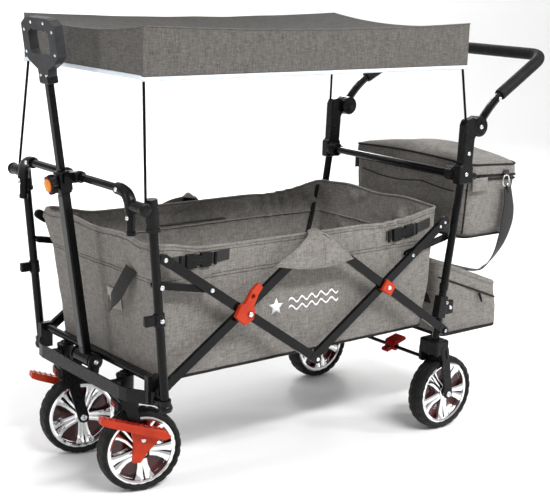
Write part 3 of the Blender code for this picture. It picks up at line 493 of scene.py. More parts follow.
# ---- wheels ---------------------------------------------------------------------------------
WHEEL_R, HUB_Z, TYRE_HALF, RIM_R, RIM_HALF = 0.094, 0.0995, 0.023, 0.0783, 0.018
CASTER_X, CASTER_Y, TRAIL = -0.384, 0.1285, 0.033
CASTER_TURN = Matrix.Rotation(math.radians(-13.0), 4, "Z")
REAR_HUB_X, REAR_HUB_Y = 0.478, 0.24
# stations along half a twin spoke: distance from the hub, turn, half width and height of its top
SPOKE = ((0.013, 0.3, 0.0064, 0.0175), (0.026, 0.2, 0.0062, 0.0155), (0.042, 0.155, 0.0062, 0.0125),
         (0.058, 0.165, 0.0076, 0.013), (0.0715, 0.185, 0.0112, 0.0165))


def tyre(name, hub, axis, body, node):
    """A block-tread tyre: grooves cut across the shoulders, a wavy line round each side."""
    half = TYRE_HALF
    profile = [(RIM_R + 0.0006, -half + 0.004), (RIM_R + 0.004, -half + 0.0008), (WHEEL_R - 0.0115, -half),
               (WHEEL_R - 0.0075, -half + 0.001), (WHEEL_R - 0.0035, -half + 0.0032),
               (WHEEL_R - 0.0012, -0.014), (WHEEL_R - 0.0002, -0.0092), (WHEEL_R - 0.0002, -0.0062),
               (WHEEL_R - 0.0022, -0.0052),
               (WHEEL_R - 0.0022, -0.0036), (WHEEL_R, -0.0026)]
    profile += [(r, -h) for r, h in reversed(profile)]

    def tread(turn, r, h):
        block = math.sin(turn * 24 + (2.2 if h > 0 else 0.0))
        if abs(h) > 0.0062 and r > WHEEL_R - 0.0118:
            deep = 0.0016 if abs(h) > 0.012 else 0.0012
            return -deep * smooth_step((block - 0.45) * 5)
        if abs(h) < 0.003:
            return -0.0012 * smooth_step((math.sin(turn * 24 + 1.1) - 0.45) * 4)
        return 0.0

    bm = bmesh.new()
    add_turned(bm, profile, hub, axis, 144, tread, ring=True)
    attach(stands_for(made_mesh(name, bm, RUBBER, 32.0), node), body)


def rim(name, hub, axis, body, node, outward):
    """A deep plated rim with five twin spokes on each face, an open barrel and a hub cap."""
    centre, side, up, axis = ring_frame(hub, axis)
    bm = bmesh.new()
    w = RIM_HALF
    barrel = [(0.07, -w), (0.074, -w - 0.0016), (RIM_R - 0.0004, -w - 0.0006), (RIM_R, -w + 0.003),
              (RIM_R - 0.002, 0.0), (RIM_R, w - 0.003), (RIM_R - 0.0004, w + 0.0006), (0.074, w + 0.0016),
              (0.07, w), (0.0688, w - 0.004), (0.0712, 0.0), (0.0688, -w + 0.004)]
    add_turned(bm, barrel, hub, axis * outward, 72, ring=True)
    for k in range(10):
        middle = math.tau * (k % 5 + 0.15) / 5
        face = axis * (outward if k < 5 else -outward)
        for way in (-1, 1):
            stations = []
            for reach, spread, half_w, top in SPOKE:
                at, lean = middle + way * spread, half_w / reach
                section = ((at + lean, top - 0.002), (at + lean * 0.45, top), (at - lean * 0.45, top),
                           (at - lean, top - 0.002), (at - lean * 0.7, top - 0.011),
                           (at + lean * 0.7, top - 0.011))
                stations.append([bm.verts.new(centre + (side * math.cos(turn) + up * math.sin(turn)) * reach
                                              + face * height) for turn, height in section])
            for below, above in zip(stations, stations[1:]):
                bridge(bm, below, above)
            close_ends(bm, stations)
    face = axis * outward
    cap = [(0.0065, 0.0225), (0.0078, 0.021), (0.012, 0.0205), (0.0165, 0.0185), (0.018, 0.014),
           (0.018, -0.018), (0.0075, -0.022)]
    rows = add_turned(bm, cap, hub, face, 32)
    bm.faces.new(rows[0])
    bm.faces.new(list(reversed(rows[-1])))
    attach(stands_for(made_mesh(name, bm, RIM, 32.0), node), body)
    # a dark red disc behind the spokes fills the rim's windows with painted shade and a painted reflection
    turned_ring(name + "_backing", [(0.0185, -0.003), (0.0185, 0.0022), (0.07, 0.0006), (0.07, -0.0014)],
                hub, face, RIM_WINDOW_SHADE_AND_REFLECTION, 60, body)


def swivelled_way(x, y, z):
    return CASTER_TURN @ Vector((x, y, z))


def swivelled(x, y, z, side):
    """A point on a caster, turned to the angle it stands at; y counts from the caster's middle."""
    return Vector((CASTER_X, CASTER_Y * side, 0.0)) + swivelled_way(x - CASTER_X, y, z)


def wheels():
    for tag, side in SIDES:
        for end, hub, axis in (
                ("front_", swivelled(CASTER_X + TRAIL, 0.0, HUB_Z, side), swivelled_way(0, 1, 0)),
                ("rear_", Vector((REAR_HUB_X, REAR_HUB_Y * side, HUB_Z)), (0, 1, 0))):
            where = end + tag
            tyre("tyre_tread_" + where, hub, axis, "wheel_" + where, "tyre_" + where)
            rim("rim_spokes_" + where, hub, axis, "wheel_" + where, "rim_" + where, side)


# ---- tub ------------------------------------------------------------------------------------
FLOOR_Z, SEAM_Z = 0.272, 0.495
TUB_FRONT, TUB_REAR = (-0.344, -0.378), (0.428, 0.456)      # x of the end walls at the floor and at the rim
TUB_HALF, TUB_CORNER, RIM_LENGTH = 0.214, 0.022, 0.834
TUB_THICK = 0.003


def rim_height(x, y):
    """Height of the tub's rim: highest at the corners, slack along the sides."""
    along_side = smooth_step((abs(y) - 0.19) / 0.02)
    t = (x - TUB_FRONT[1]) / RIM_LENGTH
    slack = 0.555 - 0.004 * arch(clamped(t))
    slack += 0.019 * (1 - smooth_step(t / 0.16)) + 0.016 * smooth_step((t - 0.84) / 0.16)
    slack -= 0.004 * bell(t, 0.77, 0.05)
    return slack * along_side + (0.573 - 0.003 * math.cos(y * 30)) * (1 - along_side)


def wall_point(s, t):
    """A point of the tub's outer wall: s runs round it from the front left corner, t from floor to rim."""
    front, rear = between(*TUB_FRONT, t), between(*TUB_REAR, t)
    half = TUB_HALF + 0.004 * t + 0.0085 * arch(t)
    corner = TUB_CORNER
    arc = math.pi / 2 * corner
    lengths = [rear - front - 2 * corner, arc, 2 * half - 2 * corner, arc] * 2
    left = (s % 1.0) * sum(lengths)
    starts = [((front + corner, -half), (1, 0)), ((rear - corner, -half + corner), -90),
              ((rear, -half + corner), (0, 1)), ((rear - corner, half - corner), 0),
              ((rear - corner, half), (-1, 0)), ((front + corner, half - corner), 90),
              ((front, half - corner), (0, -1)), ((front + corner, -half + corner), 180)]
    for (place, way), length in zip(starts, lengths):
        if left <= length:
            break
        left -= length
    if isinstance(way, tuple):
        x, y = place[0] + way[0] * left, place[1] + way[1] * left
        out = Vector((way[1], -way[0], 0.0))
    else:
        turn = math.radians(way) + left / corner
        x, y = place[0] + corner * math.cos(turn), place[1] + corner * math.sin(turn)
        out = Vector((math.cos(turn), math.sin(turn), 0.0))
    return Vector((x, y, FLOOR_Z + (rim_height(x, y) - FLOOR_Z) * t)), out


def wall_slack(place, out, t):
    """How far the cloth stands off its smooth shape: broad sags, folds by the gathers and below the rim."""
    x, y, z = place
    on_side = abs(out.y) > 0.5
    across = x if on_side else y
    sag = 0.004 * ripple(across * 7.0, z * 7.0, 3.0 if out.y < 0 else 8.0)
    folds = 0.003 * ripple(across * 34.0 + z * 10.0, z * 6.0, 5.0)
    gather = bell(x, 0.3, 0.075) * smooth_step((t - 0.6) / 0.3) if on_side else 0.0
    creases = 0.0042 * math.sin(x * 190.0 + z * 70.0) * gather
    corner = bell(x, -0.33, 0.05) * smooth_step((t - 0.5) / 0.4) if on_side else 0.0
    creases += 0.002 * math.sin(x * 120.0 - z * 110.0) * corner
    firm = arch(clamped(t)) ** 0.5 * 0.8 + 0.2
    band = 0.0012 if z > SEAM_Z else 0.0
    flare = 0.019 * smooth_step((-0.3 - x) / 0.07) * bell(t, 0.93, 0.16)
    if abs(out.y) < 0.5:
        flare = 0.01 * smooth_step((abs(y) - 0.12) / 0.09) * bell(t, 0.92, 0.13) if x < 0 else 0.0
    return (sag + folds) * firm + creases + band + flare


def wall_at(s, t, lift=0.0):
    place, out = wall_point(s, t)
    return place + out * (wall_slack(place, out, t) + lift), out


def find_s(wall, value):
    """The s at which a wall passes x (on a side) or y (on the front)."""
    best, found = 9.0, 0.0
    for i in range(1600):
        s = i / 1600
        place, out = wall_point(s, 0.8)
        face = {"left": out.y < -0.9, "right": out.y > 0.9, "front": out.x < -0.9}[wall]
        gap = abs((place.y if wall == "front" else place.x) - value)
        if face and gap < best:
            best, found = gap, s
    return found


def t_for(s, z):
    return (z - FLOOR_Z) / (wall_point(s, 1.0)[0].z - FLOOR_Z)


def on_wall(wall, along, z, lift):
    s = find_s(wall, along)
    return wall_at(s, t_for(s, z), lift)


def drawn_in(obj):
    """Cloth and what is sewn to it: modifiers applied, carried by the front frame, with a mesh of its own."""
    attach(settled(obj), "front_frame")
    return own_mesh(obj)


def with_tub(obj):
    return drawn_in(obj)


def wall_ring(count, height, lift):
    return [wall_at(i / count, height(i / count), lift)[0] for i in range(count)]


def tub():
    around, levels = 300, 34
    bm = bmesh.new()
    outer, inner = [], []
    for level in range(levels + 1):
        outer.append([bm.verts.new(wall_at(i / around, level / levels)[0]) for i in range(around)])
    for level in range(levels + 1):
        t = level / levels
        row = []
        for i in range(around):
            place, out = wall_point(i / around, t)
            x, y, z = place
            fold = 0.0085 * ripple(x * 12.0 + z * 9.0, y * 13.0 - z * 8.0, 40.0)
            fold += 0.006 * ripple(x * 34.0 + z * 26.0, y * 34.0, z * 12.0)
            fold = min(fold, 0.0) * smooth_step((1.0 - t) / 0.06) * (0.25 if abs(t - 0.76) < 0.05 else 1.0)
            row.append(bm.verts.new(place + out * (wall_slack(place, out, t) - TUB_THICK + fold * 1.5)))
        inner.append(row)
    for below, above in zip(outer, outer[1:]):
        bridge(bm, below, above)
    for below, above in zip(inner, inner[1:]):
        bridge(bm, above, below, 1)
    bridge(bm, outer[-1], inner[-1])
    bm.faces.new(outer[0])
    bm.faces.new(list(reversed(inner[0]))).material_index = 1
    # the inner face takes the lining cloth, made lighter as painted light
    with_tub(stands_for(made_mesh("tub_cloth", bm, [CLOTH, CLOTH_IN_PAINTED_LIGHT], 60.0), "fabric_tub"))

    # rolled rim, bottom piping, the stitched lines and the seam inside
    tubes("tub_rim_roll", [wall_ring(240, lambda s: 1.0, -TUB_THICK / 2)], 0.0036, 10, CLOTH, with_tub,
          closed=True)
    tubes("tub_bottom_piping", [wall_ring(240, lambda s: 0.012, 0.0008)], 0.0032, 8, PIPING, with_tub,
          closed=True)
    lines = (lambda s: t_for(s, SEAM_Z), lambda s: t_for(s, SEAM_Z - 0.007), lambda s: 1.0 - 0.03)
    stitches = [[wall_at(s, line(s), 0.0006)[0] for s in (i / 460, (i + 0.62) / 460)]
                for line in lines for i in range(460)]
    tubes("tub_stitches", stitches, 0.0006, 5, THREAD, with_tub)
    tubes("tub_inner_seam", [wall_ring(300, lambda s: t_for(s, SEAM_Z - 0.004), -TUB_THICK - 0.0016)],
          0.0022, 6, CLOTH_IN_PAINTED_LIGHT, with_tub, closed=True)


def wall_panel(name, corners, wall, material, lift, inside=False, nu=14, nv=8):
    """A patch sewn to the tub's wall; corners are (along, z) at four corners, low left first."""
    bm = bmesh.new()
    grid = []
    for i in range(nu + 1):
        low = Vector(corners[0]).lerp(Vector(corners[1]), i / nu)
        high = Vector(corners[3]).lerp(Vector(corners[2]), i / nu)
        spots = [low.lerp(high, j / nv) for j in range(nv + 1)]
        grid.append([bm.verts.new(on_wall(wall, at.x, at.y, -TUB_THICK - lift if inside else lift)[0])
                     for at in spots])
    grid_faces(bm, grid)
    with_tub(modified(made_mesh(name, bm, material, 80.0), "SOLIDIFY", thickness=0.0012, offset=0.0))


def buckle_strap(name, tag, start, end, centre):
    """A web strap across the side with a side-release buckle on it; start and end are (x, z)."""
    steps = 18
    path, normals = [], []
    for k in range(steps + 1):
        u = k / steps
        x, z = between(start[0], end[0], u), between(start[1], end[1], u) - 0.004 * arch(u)
        place, out = on_wall(tag, x, z, 0.0006 + 0.0025 * arch(u))
        path.append(place)
        normals.append(out)
    strap(name + "_webbing", path, [Vector((0, 0, 0.024))] * len(path), normals, 0.0014, with_tub)
    u = (centre - start[0]) / (end[0] - start[0])
    place = on_wall(tag, centre, between(start[1], end[1], u) - 0.004, 0.006)[0]
    tilt = Matrix.Rotation(-math.atan2(end[1] - start[1], end[0] - start[0]), 4, "Y")
    spans = []
    for x0, x1, half_z, half_y in (
            (-0.034, -0.006, 0.0155, 0.0042), (0.004, 0.032, 0.0155, 0.0042), (-0.008, 0.006, 0.0105, 0.0042),
            (-0.05, -0.044, 0.014, 0.003), (0.04, 0.046, 0.014, 0.003)):
        spans.append((place + Vector((x0, -half_y, -half_z)), place + Vector((x1, half_y, half_z)),
                      tilt, place))
    blocks(name + "_buckle", spans, BLACK_PLASTIC, 0.0018, with_tub)


def tub_details():
    for tag, _ in SIDES:
        buckle_strap(f"side_strap_front_{tag}", tag, (-0.335, 0.535), (-0.18, 0.533), -0.262)
        buckle_strap(f"side_strap_rear_{tag}", tag, (0.28, 0.52), (0.425, 0.537), 0.335)
        peak_x, peak_z, foot = 0.036, 0.552, 0.5
        wall_panel(f"inner_gusset_{tag}", [(-0.086, foot), (0.138, foot), (peak_x + 0.004, peak_z),
                                           (peak_x - 0.004, peak_z)], tag, CLOTH, 0.0062, inside=True)
    for corner, low, high, top in (("rear", 0.404, 0.432, 0.562), ("front", -0.326, -0.352, 0.556)):
        for tag in ("right", "left"):
            outline = [(low - 0.007, 0.29), (low + 0.007, 0.29), (high + 0.007, top), (high - 0.007, top)]
            wall_panel(f"corner_strip_{corner}_{tag}", outline, tag, PIPING, 0.0052, inside=True, nu=2, nv=16)
    # webbing loop and its patch on the front panel
    spots = [(-0.3755, -0.14, 0.508), (-0.385, -0.132, 0.486), (-0.392, -0.116, 0.456), (-0.395, -0.098, 0.43),
             (-0.393, -0.083, 0.414), (-0.386, -0.068, 0.409), (-0.379, -0.054, 0.414), (-0.373, -0.046, 0.42)]
    path = dense(smoothed(spots, 2), 0.006)
    widths, normals = [], []
    for i in range(len(path)):
        u = i / (len(path) - 1)
        way = heading(path, i)
        twist = -0.55 + 1.5 * smooth_step((u - 0.35) / 0.4)
        out = Vector((-1.0, twist, 0.25 * math.sin(u * 9.0))).normalized()
        across = way.cross(out).normalized()
        widths.append(across * (0.03 - 0.008 * u))
        normals.append(across.cross(way).normalized())
    strap("front_loop_webbing", path, widths, normals, 0.0018, with_tub)
    patch = fabric("patch_cloth", (0.24, 0.225, 0.205), (0.46, 0.44, 0.41))
    wall_panel("front_loop_patch", [(-0.07, 0.396), (-0.016, 0.396), (-0.016, 0.442), (-0.07, 0.442)],
               "front", patch, 0.0024, nu=6, nv=6)


def print_motif():
    """A plain printed motif: a five-pointed star and two waves."""
    bm = bmesh.new()

    def dot(x, z):
        return bm.verts.new(on_wall("left", x, z, 0.0009)[0])

    x0, z0 = -0.06, 0.396
    ring = []
    for i in range(10):
        reach, turn = 0.0095 if i % 2 else 0.021, math.pi / 2 + math.tau * i / 10
        ring.append(dot(x0 + reach * math.cos(turn), z0 + reach * math.sin(turn)))
    middle = dot(x0, z0)
    for i in range(10):
        bm.faces.new((middle, ring[i], ring[(i + 1) % 10]))
    for row in range(2):
        tops, feet = [], []
        for i in range(41):
            x = -0.022 + 0.15 * i / 40
            z = 0.404 - 0.018 * row + 0.0055 * math.sin(i * 0.78) + 0.02 * i / 40 * 0.2
            tops.append(dot(x, z + 0.0024))
            feet.append(dot(x, z - 0.0024))
        for i in range(40):
            bm.faces.new((feet[i], feet[i + 1], tops[i + 1], tops[i]))
    with_tub(modified(made_mesh("side_print", bm, PRINT, 80.0), "SOLIDIFY", thickness=0.0003, offset=0.0))


FLAP_PEAK = MID_X - 0.006


def flap_foot(u):
    """The flap's lower edge, from its left corner at u = -1 to its right one at u = 1."""
    reach, end_z = (0.134, 0.5055) if u < 0 else (0.092, 0.495)
    x = FLAP_PEAK + u * reach
    z = end_z - (end_z - 0.485) * (1 - abs(u) ** 1.6)
    return Vector((x, 0.2748 + 0.0026 * ripple(x * 22, z * 18, 2.0), z))


def flap_point(u, v, lift=0.0):
    """From a point on the rim, over the ends of the scissor bars, down to the lower edge."""
    start = Vector((FLAP_PEAK + u * 0.003, 0.2215, 0.559))
    over = Vector((FLAP_PEAK + u * 0.03, 0.279, 0.6 - 0.034 * abs(u) ** 0.7))
    at = start * (1 - v) ** 2 + over * 2 * v * (1 - v) + flap_foot(u) * v * v
    pleat = 0.003 * math.sin(u * 5.0 + 0.6) * arch(v)
    return at + Vector((0.0, pleat + lift, 0.0))


def side_flaps():
    """The pointed flap that hangs from the rim over the tops of the scissor bars."""
    nu, nv = 28, 20
    for tag, side in SIDES:
        mirror = Vector((1, side, 1))
        bm = bmesh.new()
        grid = [[bm.verts.new(flap_point(2 * i / nu - 1, j / nv) * mirror) for i in range(nu + 1)]
                for j in range(nv + 1)]
        for low, high in zip(grid, grid[1:]):
            for i in range(nu):
                bm.faces.new((low[i], low[i + 1], high[i + 1], high[i]))
        obj = made_mesh("side_flap_" + tag, bm, CLOTH, 180.0)
        modified(obj, "SOLIDIFY", thickness=0.0016, offset=0.0)
        with_tub(modified(obj, "SUBSURF", levels=1, render_levels=1))
        tubes("side_flap_edge_" + tag, [[flap_foot(2 * i / 26 - 1) * mirror for i in range(27)]],
              0.0016, 8, CLOTH, with_tub)
        seams = [[flap_point(u, 0.06 + 0.92 * k / 14, 0.0006) * mirror for k in range(15)]
                 for u in (-0.95, 0.1, 0.95)]
        tubes("side_flap_seams_" + tag, seams, 0.0013, 6, CLOTH, with_tub)


def floor_mat():
    """A thin quilted pad: crowned between its sewn lines."""
    nx, ny = 84, 44
    low, high = Vector((-0.328, -0.2, 0.2766)), Vector((0.412, 0.2, 0.284))
    bm = bmesh.new()
    top, base = [], []
    for i in range(nx + 1):
        u = i / nx
        top.append([])
        base.append([])
        for j in range(ny + 1):
            v = j / ny
            x, y = between(low.x, high.x, u), between(low.y, high.y, v)
            edge = min(min(u, 1 - u) * (high.x - low.x), min(v, 1 - v) * (high.y - low.y))
            puff = abs(math.sin(math.pi * u * 4)) ** 0.35 * smooth_step(edge / 0.012)
            top[-1].append(bm.verts.new((x, y, low.z + 0.0022 + 0.0062 * puff)))
            base[-1].append(bm.verts.new((x, y, low.z)))
    for i in range(nx):
        for j in range(ny):
            bm.faces.new((top[i][j], top[i + 1][j], top[i + 1][j + 1], top[i][j + 1]))
            bm.faces.new((base[i][j], base[i][j + 1], base[i + 1][j + 1], base[i + 1][j]))
    border = grid_border(nx, ny)
    for k, (i, j) in enumerate(border):
        a, b = border[(k + 1) % len(border)]
        bm.faces.new((base[i][j], base[a][b], top[a][b], top[i][j]))
    obj = with_tub(stands_for(made_mesh("floor_pad", bm, MAT, 60.0), "floor_mat"))


# ---- roof -----------------------------------------------------------------------------------
ROOF_X, ROOF_HALF, ROOF_TOP_Z, ROOF_HEM_Z = (-0.4185, 0.497), 0.2445, 1.016, 0.913


def with_roof(obj):
    return drawn_in(obj)


def roof_point(u, v, lift=0.0):
    lengthways, across = 1 - (2 * u - 1) ** 2, 1 - (2 * v - 1) ** 2
    drop = 0.01 * lengthways + 0.018 * across + 0.014 * lengthways * across
    crease = 0.0012 * ripple(u * 9.0, v * 5.0, 1.0) * lengthways
    return Vector((between(*ROOF_X, u), ROOF_HALF * (2 * v - 1), ROOF_TOP_Z - drop + crease - lift))


def roof():
    nx, ny, levels = 90, 44, 12
    bm = bmesh.new()
    grid = [[bm.verts.new(roof_point(i / nx, j / ny)) for j in range(ny + 1)] for i in range(nx + 1)]
    grid_faces(bm, grid, 1)
    around = grid_border(nx, ny)
    above = [grid[i][j] for i, j in around]
    for level in range(1, levels + 1):
        t = level / levels
        row = []
        for i, j in around:
            top = grid[i][j].co
            out = Vector(((i == nx) - (i == 0), (j == ny) - (j == 0), 0))
            if out.length > 1.2:        # the corners stay where they are
                out = Vector((0, 0, 0))
            wave = 0.002 * ripple(top.x * 12, top.y * 12, t * 1.5) * t - 0.0012 * arch(t)
            hem_z = ROOF_HEM_Z + (0.003 if i in (0, nx) and 0 < j < ny else 0.0)
            row.append(bm.verts.new(Vector((top.x, top.y, top.z + (hem_z - top.z) * t)) + out * wave))
        for k in range(len(around)):
            m = (k + 1) % len(around)
            bm.faces.new((above[k], row[k], row[m], above[m]))
        above = row
    hem_line = [v.co.copy() for v in above]
    # the sides, the top and the edge seam take the roof cloths, both darkened as painted shade
    obj = made_mesh("roof_cloth_sheet", bm, [ROOF_SIDE_PAINTED_SHADE, ROOF_TOP_PAINTED_SHADE], 50.0)
    with_roof(stands_for(modified(obj, "SOLIDIFY", thickness=0.0016, offset=-1.0), "canopy"))
    hem = tubes("roof_hem_tape", [hem_line], 0.0034, 8, HEM, with_roof, closed=True, flat=1.3)
    edge = [roof_point(i / nx, j / ny, 0.0006) for i, j in around]
    piping = tubes("roof_edge_seam", [edge], 0.0016, 8, ROOF_SIDE_PAINTED_SHADE, with_roof, closed=True)


# ---- rear bags ------------------------------------------------------------------------------
def ring_points(front, rear, half_w, radius, long_steps, short_steps):
    """Points round a rounded rectangle in plan, starting at the front left and going rearwards."""
    corners = [(front + radius, -half_w + radius, 180), (rear - radius, -half_w + radius, 270),
               (rear - radius, half_w - radius, 0), (front + radius, half_w - radius, 90)]

    def on_arc(x, y, degrees):
        turn = math.radians(degrees)
        return Vector((x + radius * math.cos(turn), y + radius * math.sin(turn)))

    run = []
    for k, (x, y, start) in enumerate(corners):
        run += [on_arc(x, y, start + 90 * i / 6) for i in range(7)]
        here, there = on_arc(x, y, start + 90), on_arc(*corners[(k + 1) % 4])
        steps = short_steps if k % 2 else long_steps
        run += [here.lerp(there, i / steps) for i in range(1, steps)]
    return run


def lofted_bag(name, rings, material, painted_shade_from=99):
    """A closed bag through its rings; the bands from the given index on take the second material, a dark cloth
    painted as shade inside an open pocket.
    """
    bm = bmesh.new()
    rows = [[bm.verts.new(p) for p in ring] for ring in rings]
    for k, (below, above) in enumerate(zip(rows, rows[1:])):
        bridge(bm, below, above, int(k >= painted_shade_from))
    bm.faces.new(list(reversed(rows[0])))
    bm.faces.new(rows[-1]).material_index = int(len(rows) >= painted_shade_from)
    return made_mesh(name, bm, material, 60.0)


def on_rear(obj):
    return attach(settled(obj), "rear_frame")


def bag_ring(front, rear, half, z, radius=0.03, lid=0.0, slack=0.0):
    ring = []
    for x, y in ring_points(front, rear, half, radius, 10, 22):
        u = max(-1.0, min(1.0, y / half))
        soft = slack * ripple(x * 16, y * 13, z * 13)
        out = (Vector((x, y)) - Vector(((front + rear) / 2, 0.0))).normalized()
        tilt = 0.05 * (x - (front + rear) / 2) * (1 if z > 0.6 else 0)
        ring.append(Vector((x + out.x * soft, y + out.y * soft, z + lid * (1 - u * u) - tilt)))
    return ring


def cooler_bag():
    """A soft insulated bag: slack body, a domed lid with two piped bands and a zip between them."""
    rings = []
    for t in (0.0, 0.03, 0.07, 0.14, 0.25, 0.38, 0.5, 0.62, 0.75, 0.87, 0.96, 1.0):
        shrink = 0.016 * (1 - smooth_step(t / 0.14)) + 0.004 * arch(t)
        rings.append(bag_ring(0.564 + shrink * 0.6, 0.75 - shrink, 0.213 - shrink * 0.5 - 0.012 * (1 - t),
                              between(0.474, 0.632, t),
                              slack=0.0052 * arch(min(1, t * 1.1)) ** 0.5 if t < 0.9 else 0.001))
    on_rear(stands_for(lofted_bag("bag_body", rings, CLOTH), "cooler_bag"))
    lid = [bag_ring(0.563 + shrink * 0.7, 0.752 - shrink * 0.7, 0.214 - shrink, z,
                    max(0.012, 0.03 - shrink * 0.2), lid=crown, slack=0.001)
           for z, shrink, crown in (
               (0.6335, 0.0, 0.0), (0.64, -0.0016, 0.001), (0.652, -0.0012, 0.004), (0.66, 0.001, 0.008),
               (0.666, 0.01, 0.012), (0.671, 0.026, 0.016), (0.674, 0.05, 0.019), (0.675, 0.08, 0.02))]
    on_rear(lofted_bag("bag_lid", lid, CLOTH))
    for name, z, swell, material, radius, crown in (
            ("bag_zip", 0.6335, 0.0012, BLACK_PLASTIC, 0.0034, 0.0),
            ("bag_piping_low", 0.624, 0.0008, PIPING, 0.0024, 0.0),
            ("bag_piping_high", 0.661, 0.0, PIPING, 0.0026, 0.008)):
        ring = bag_ring(0.563 - swell, 0.752 + swell, 0.214 + swell, z, lid=crown)
        tubes(name, [ring], radius, 8, material, on_rear, closed=True)
    tubes("bag_base_piping", [bag_ring(0.57, 0.742, 0.199, 0.4765, 0.028)], 0.003, 8, PIPING, on_rear,
          closed=True)
    # piped corners, front pocket line, side tab, ring, hook and tape
    tubes("bag_corner_piping", [[ring[corner] for ring in rings[2:-1]] for corner in (3, 19, 47, 63)],
          0.0022, 6, PIPING, on_rear)
    tubes("bag_pocket_zip", [[(0.559, 0.17 - 0.34 * k / 40, 0.604 - 0.01 * abs(math.sin(k * 0.12)))
                              for k in range(41)]], 0.0016, 6, PIPING, on_rear)
    for tag, side in SIDES:
        y = 0.216 * side
        blocks("bag_side_tab_" + tag, [mirrored((0.574, 0.216, 0.598), (0.628, 0.216 + 0.004, 0.632), side)],
               CLOTH, 0.0018, on_rear)
        ring = [(0.694 + 0.012 * math.cos(math.tau * k / 20), y + 0.006 * side,
                 0.618 + 0.015 * math.sin(math.tau * k / 20)) for k in range(20)]
        tubes("bag_ring_" + tag, [ring], 0.002, 8, BOLT, on_rear, closed=True)
        hook = [(0.694 + 0.002 * k, y + 0.0075 * side, 0.604 - 0.0035 * k) for k in range(6)]
        tubes("bag_hook_" + tag, [hook], [0.0042, 0.005, 0.0046, 0.004, 0.0036, 0.003], 10,
              BLACK_PLASTIC, on_rear)
        tape = dense([(0.694, y + 0.004 * side, 0.646), (0.694, y + 0.0055 * side, 0.632)], 0.004)
        strap("bag_ring_tape_" + tag, tape, [Vector((0.02, 0, 0))] * 5, [Vector((0, side, 0))] * 5,
              0.0016, on_rear)


def shoulder_strap():
    """The wide shoulder strap: clipped at the near end, hanging down behind the bag and up to the far end."""
    near = [(0.7, -0.2225, 0.6), (0.706, -0.224, 0.57), (0.709, -0.2245, 0.54), (0.705, -0.2245, 0.505),
            (0.693, -0.224, 0.47), (0.677, -0.223, 0.44), (0.659, -0.22, 0.415), (0.643, -0.212, 0.396),
            (0.635, -0.196, 0.385), (0.633, -0.165, 0.3815), (0.634, -0.11, 0.379), (0.636, -0.05, 0.378)]
    path = dense(smoothed(near + [(x, -y, z) for x, y, z in reversed(near)], 3), 0.012)
    widths, normals = [], []
    for i, (_, y, z) in enumerate(path):
        side = smooth_step((abs(y) - 0.195) / 0.03)
        turned_in = 0.9 * smooth_step((0.47 - z) / 0.07) * side
        out = Vector((turned_in, (1 if y > 0 else -1) * side, -(1 - side))).normalized()
        widths.append(heading(path, i).cross(out).normalized() * (0.024 + 0.018 * bell(z, 0.52, 0.05)))
        normals.append(out)
    strap("bag_shoulder_strap", path, widths, normals, 0.0022, on_rear)


POCKET_LOW, POCKET_HIGH, POCKET_FLOOR = (0.512, 0.736), (0.48, 0.72), 0.222


def pocket_top(x):
    return 0.424 + (0.334 - 0.424) * (x - 0.48) / (0.718 - 0.48)


def rear_pocket():
    """An open tray pocket behind the tub with a padded, rolled rim that slopes rearwards."""
    def height(x, t):
        return POCKET_FLOOR + (pocket_top(x) - POCKET_FLOOR) * t

    rings = []
    for t in (0.0, 0.02, 0.08, 0.25, 0.5, 0.75, 0.92, 1.0):
        shrink = 0.012 * (1 - smooth_step(t / 0.08))
        front = between(POCKET_LOW[0], POCKET_HIGH[0], t) + shrink
        rear = between(POCKET_LOW[1], POCKET_HIGH[1], t) - shrink
        ring = []
        for x, y in ring_points(front, rear, 0.197 - shrink, 0.026, 12, 16):
            soft = 0.0045 * ripple(x * 18, y * 18, t * 2.2) * arch(t)
            out = (Vector((x, y)) - Vector(((front + rear) / 2, 0))).normalized() * soft
            ring.append(Vector((x + out.x, y + out.y, height(x, t))))
        rings.append(ring)
    for t, shrink in ((1.0, 0.01), (0.8, 0.013), (0.45, 0.014)):
        front, rear = POCKET_HIGH[0] + shrink, POCKET_HIGH[1] - shrink
        rings.append([Vector((x, y, height(x, t)))
                      for x, y in ring_points(front, rear, 0.197 - shrink, 0.022, 12, 16)])
    # the pocket's inner walls and floor take the dark piping cloth: painted shade inside the open pocket
    on_rear(stands_for(lofted_bag("rear_pocket_cloth", rings, [CLOTH, PIPING], painted_shade_from=8), "rear_pocket"))
    for part, plan, z, radius, sides, material in (
            ("roll", (POCKET_HIGH[0] + 0.005, POCKET_HIGH[1] - 0.005, 0.192, 0.024),
             lambda x: pocket_top(x) + 0.001, 0.0078, 12, CLOTH),
            ("base_piping", (0.5175, 0.7305, 0.1935, 0.024), lambda x: 0.2255, 0.0042, 8, PIPING),
            ("zip", (0.4905, 0.7245, 0.1985, 0.026), lambda x: pocket_top(x) - 0.034, 0.0026, 8, PIPING)):
        line = [Vector((x, y, z(x))) for x, y in ring_points(*plan, 12, 16)]
        tubes("rear_pocket_" + part, [line], radius, sides, material, on_rear, closed=True)
    tubes("rear_pocket_puller", [[(0.646, -0.2015, 0.322), (0.65, -0.204, 0.31), (0.655, -0.2048, 0.298)]],
          [0.003, 0.0036, 0.0022], 8, BLACK_PLASTIC, on_rear)


# ---- frame trims ----------------------------------------------------------------------------
BAR_OUT = 0.2668                                 # the outer bars' outer face
POST_Y, REAR_POST_Y = 0.266, 0.245
RAIL_X, RAIL_Z, RAIL_END_Y = -0.434, 0.69, 0.2285
PUSH_X, PUSH_Z = 0.548, 0.768                    # the push handle's hinge


def front_x(z):
    return -0.3747 - 0.09 * (z - PIVOT_Z)


def rear_x(z):
    return 0.45 + 0.14 * (z - PIVOT_Z)


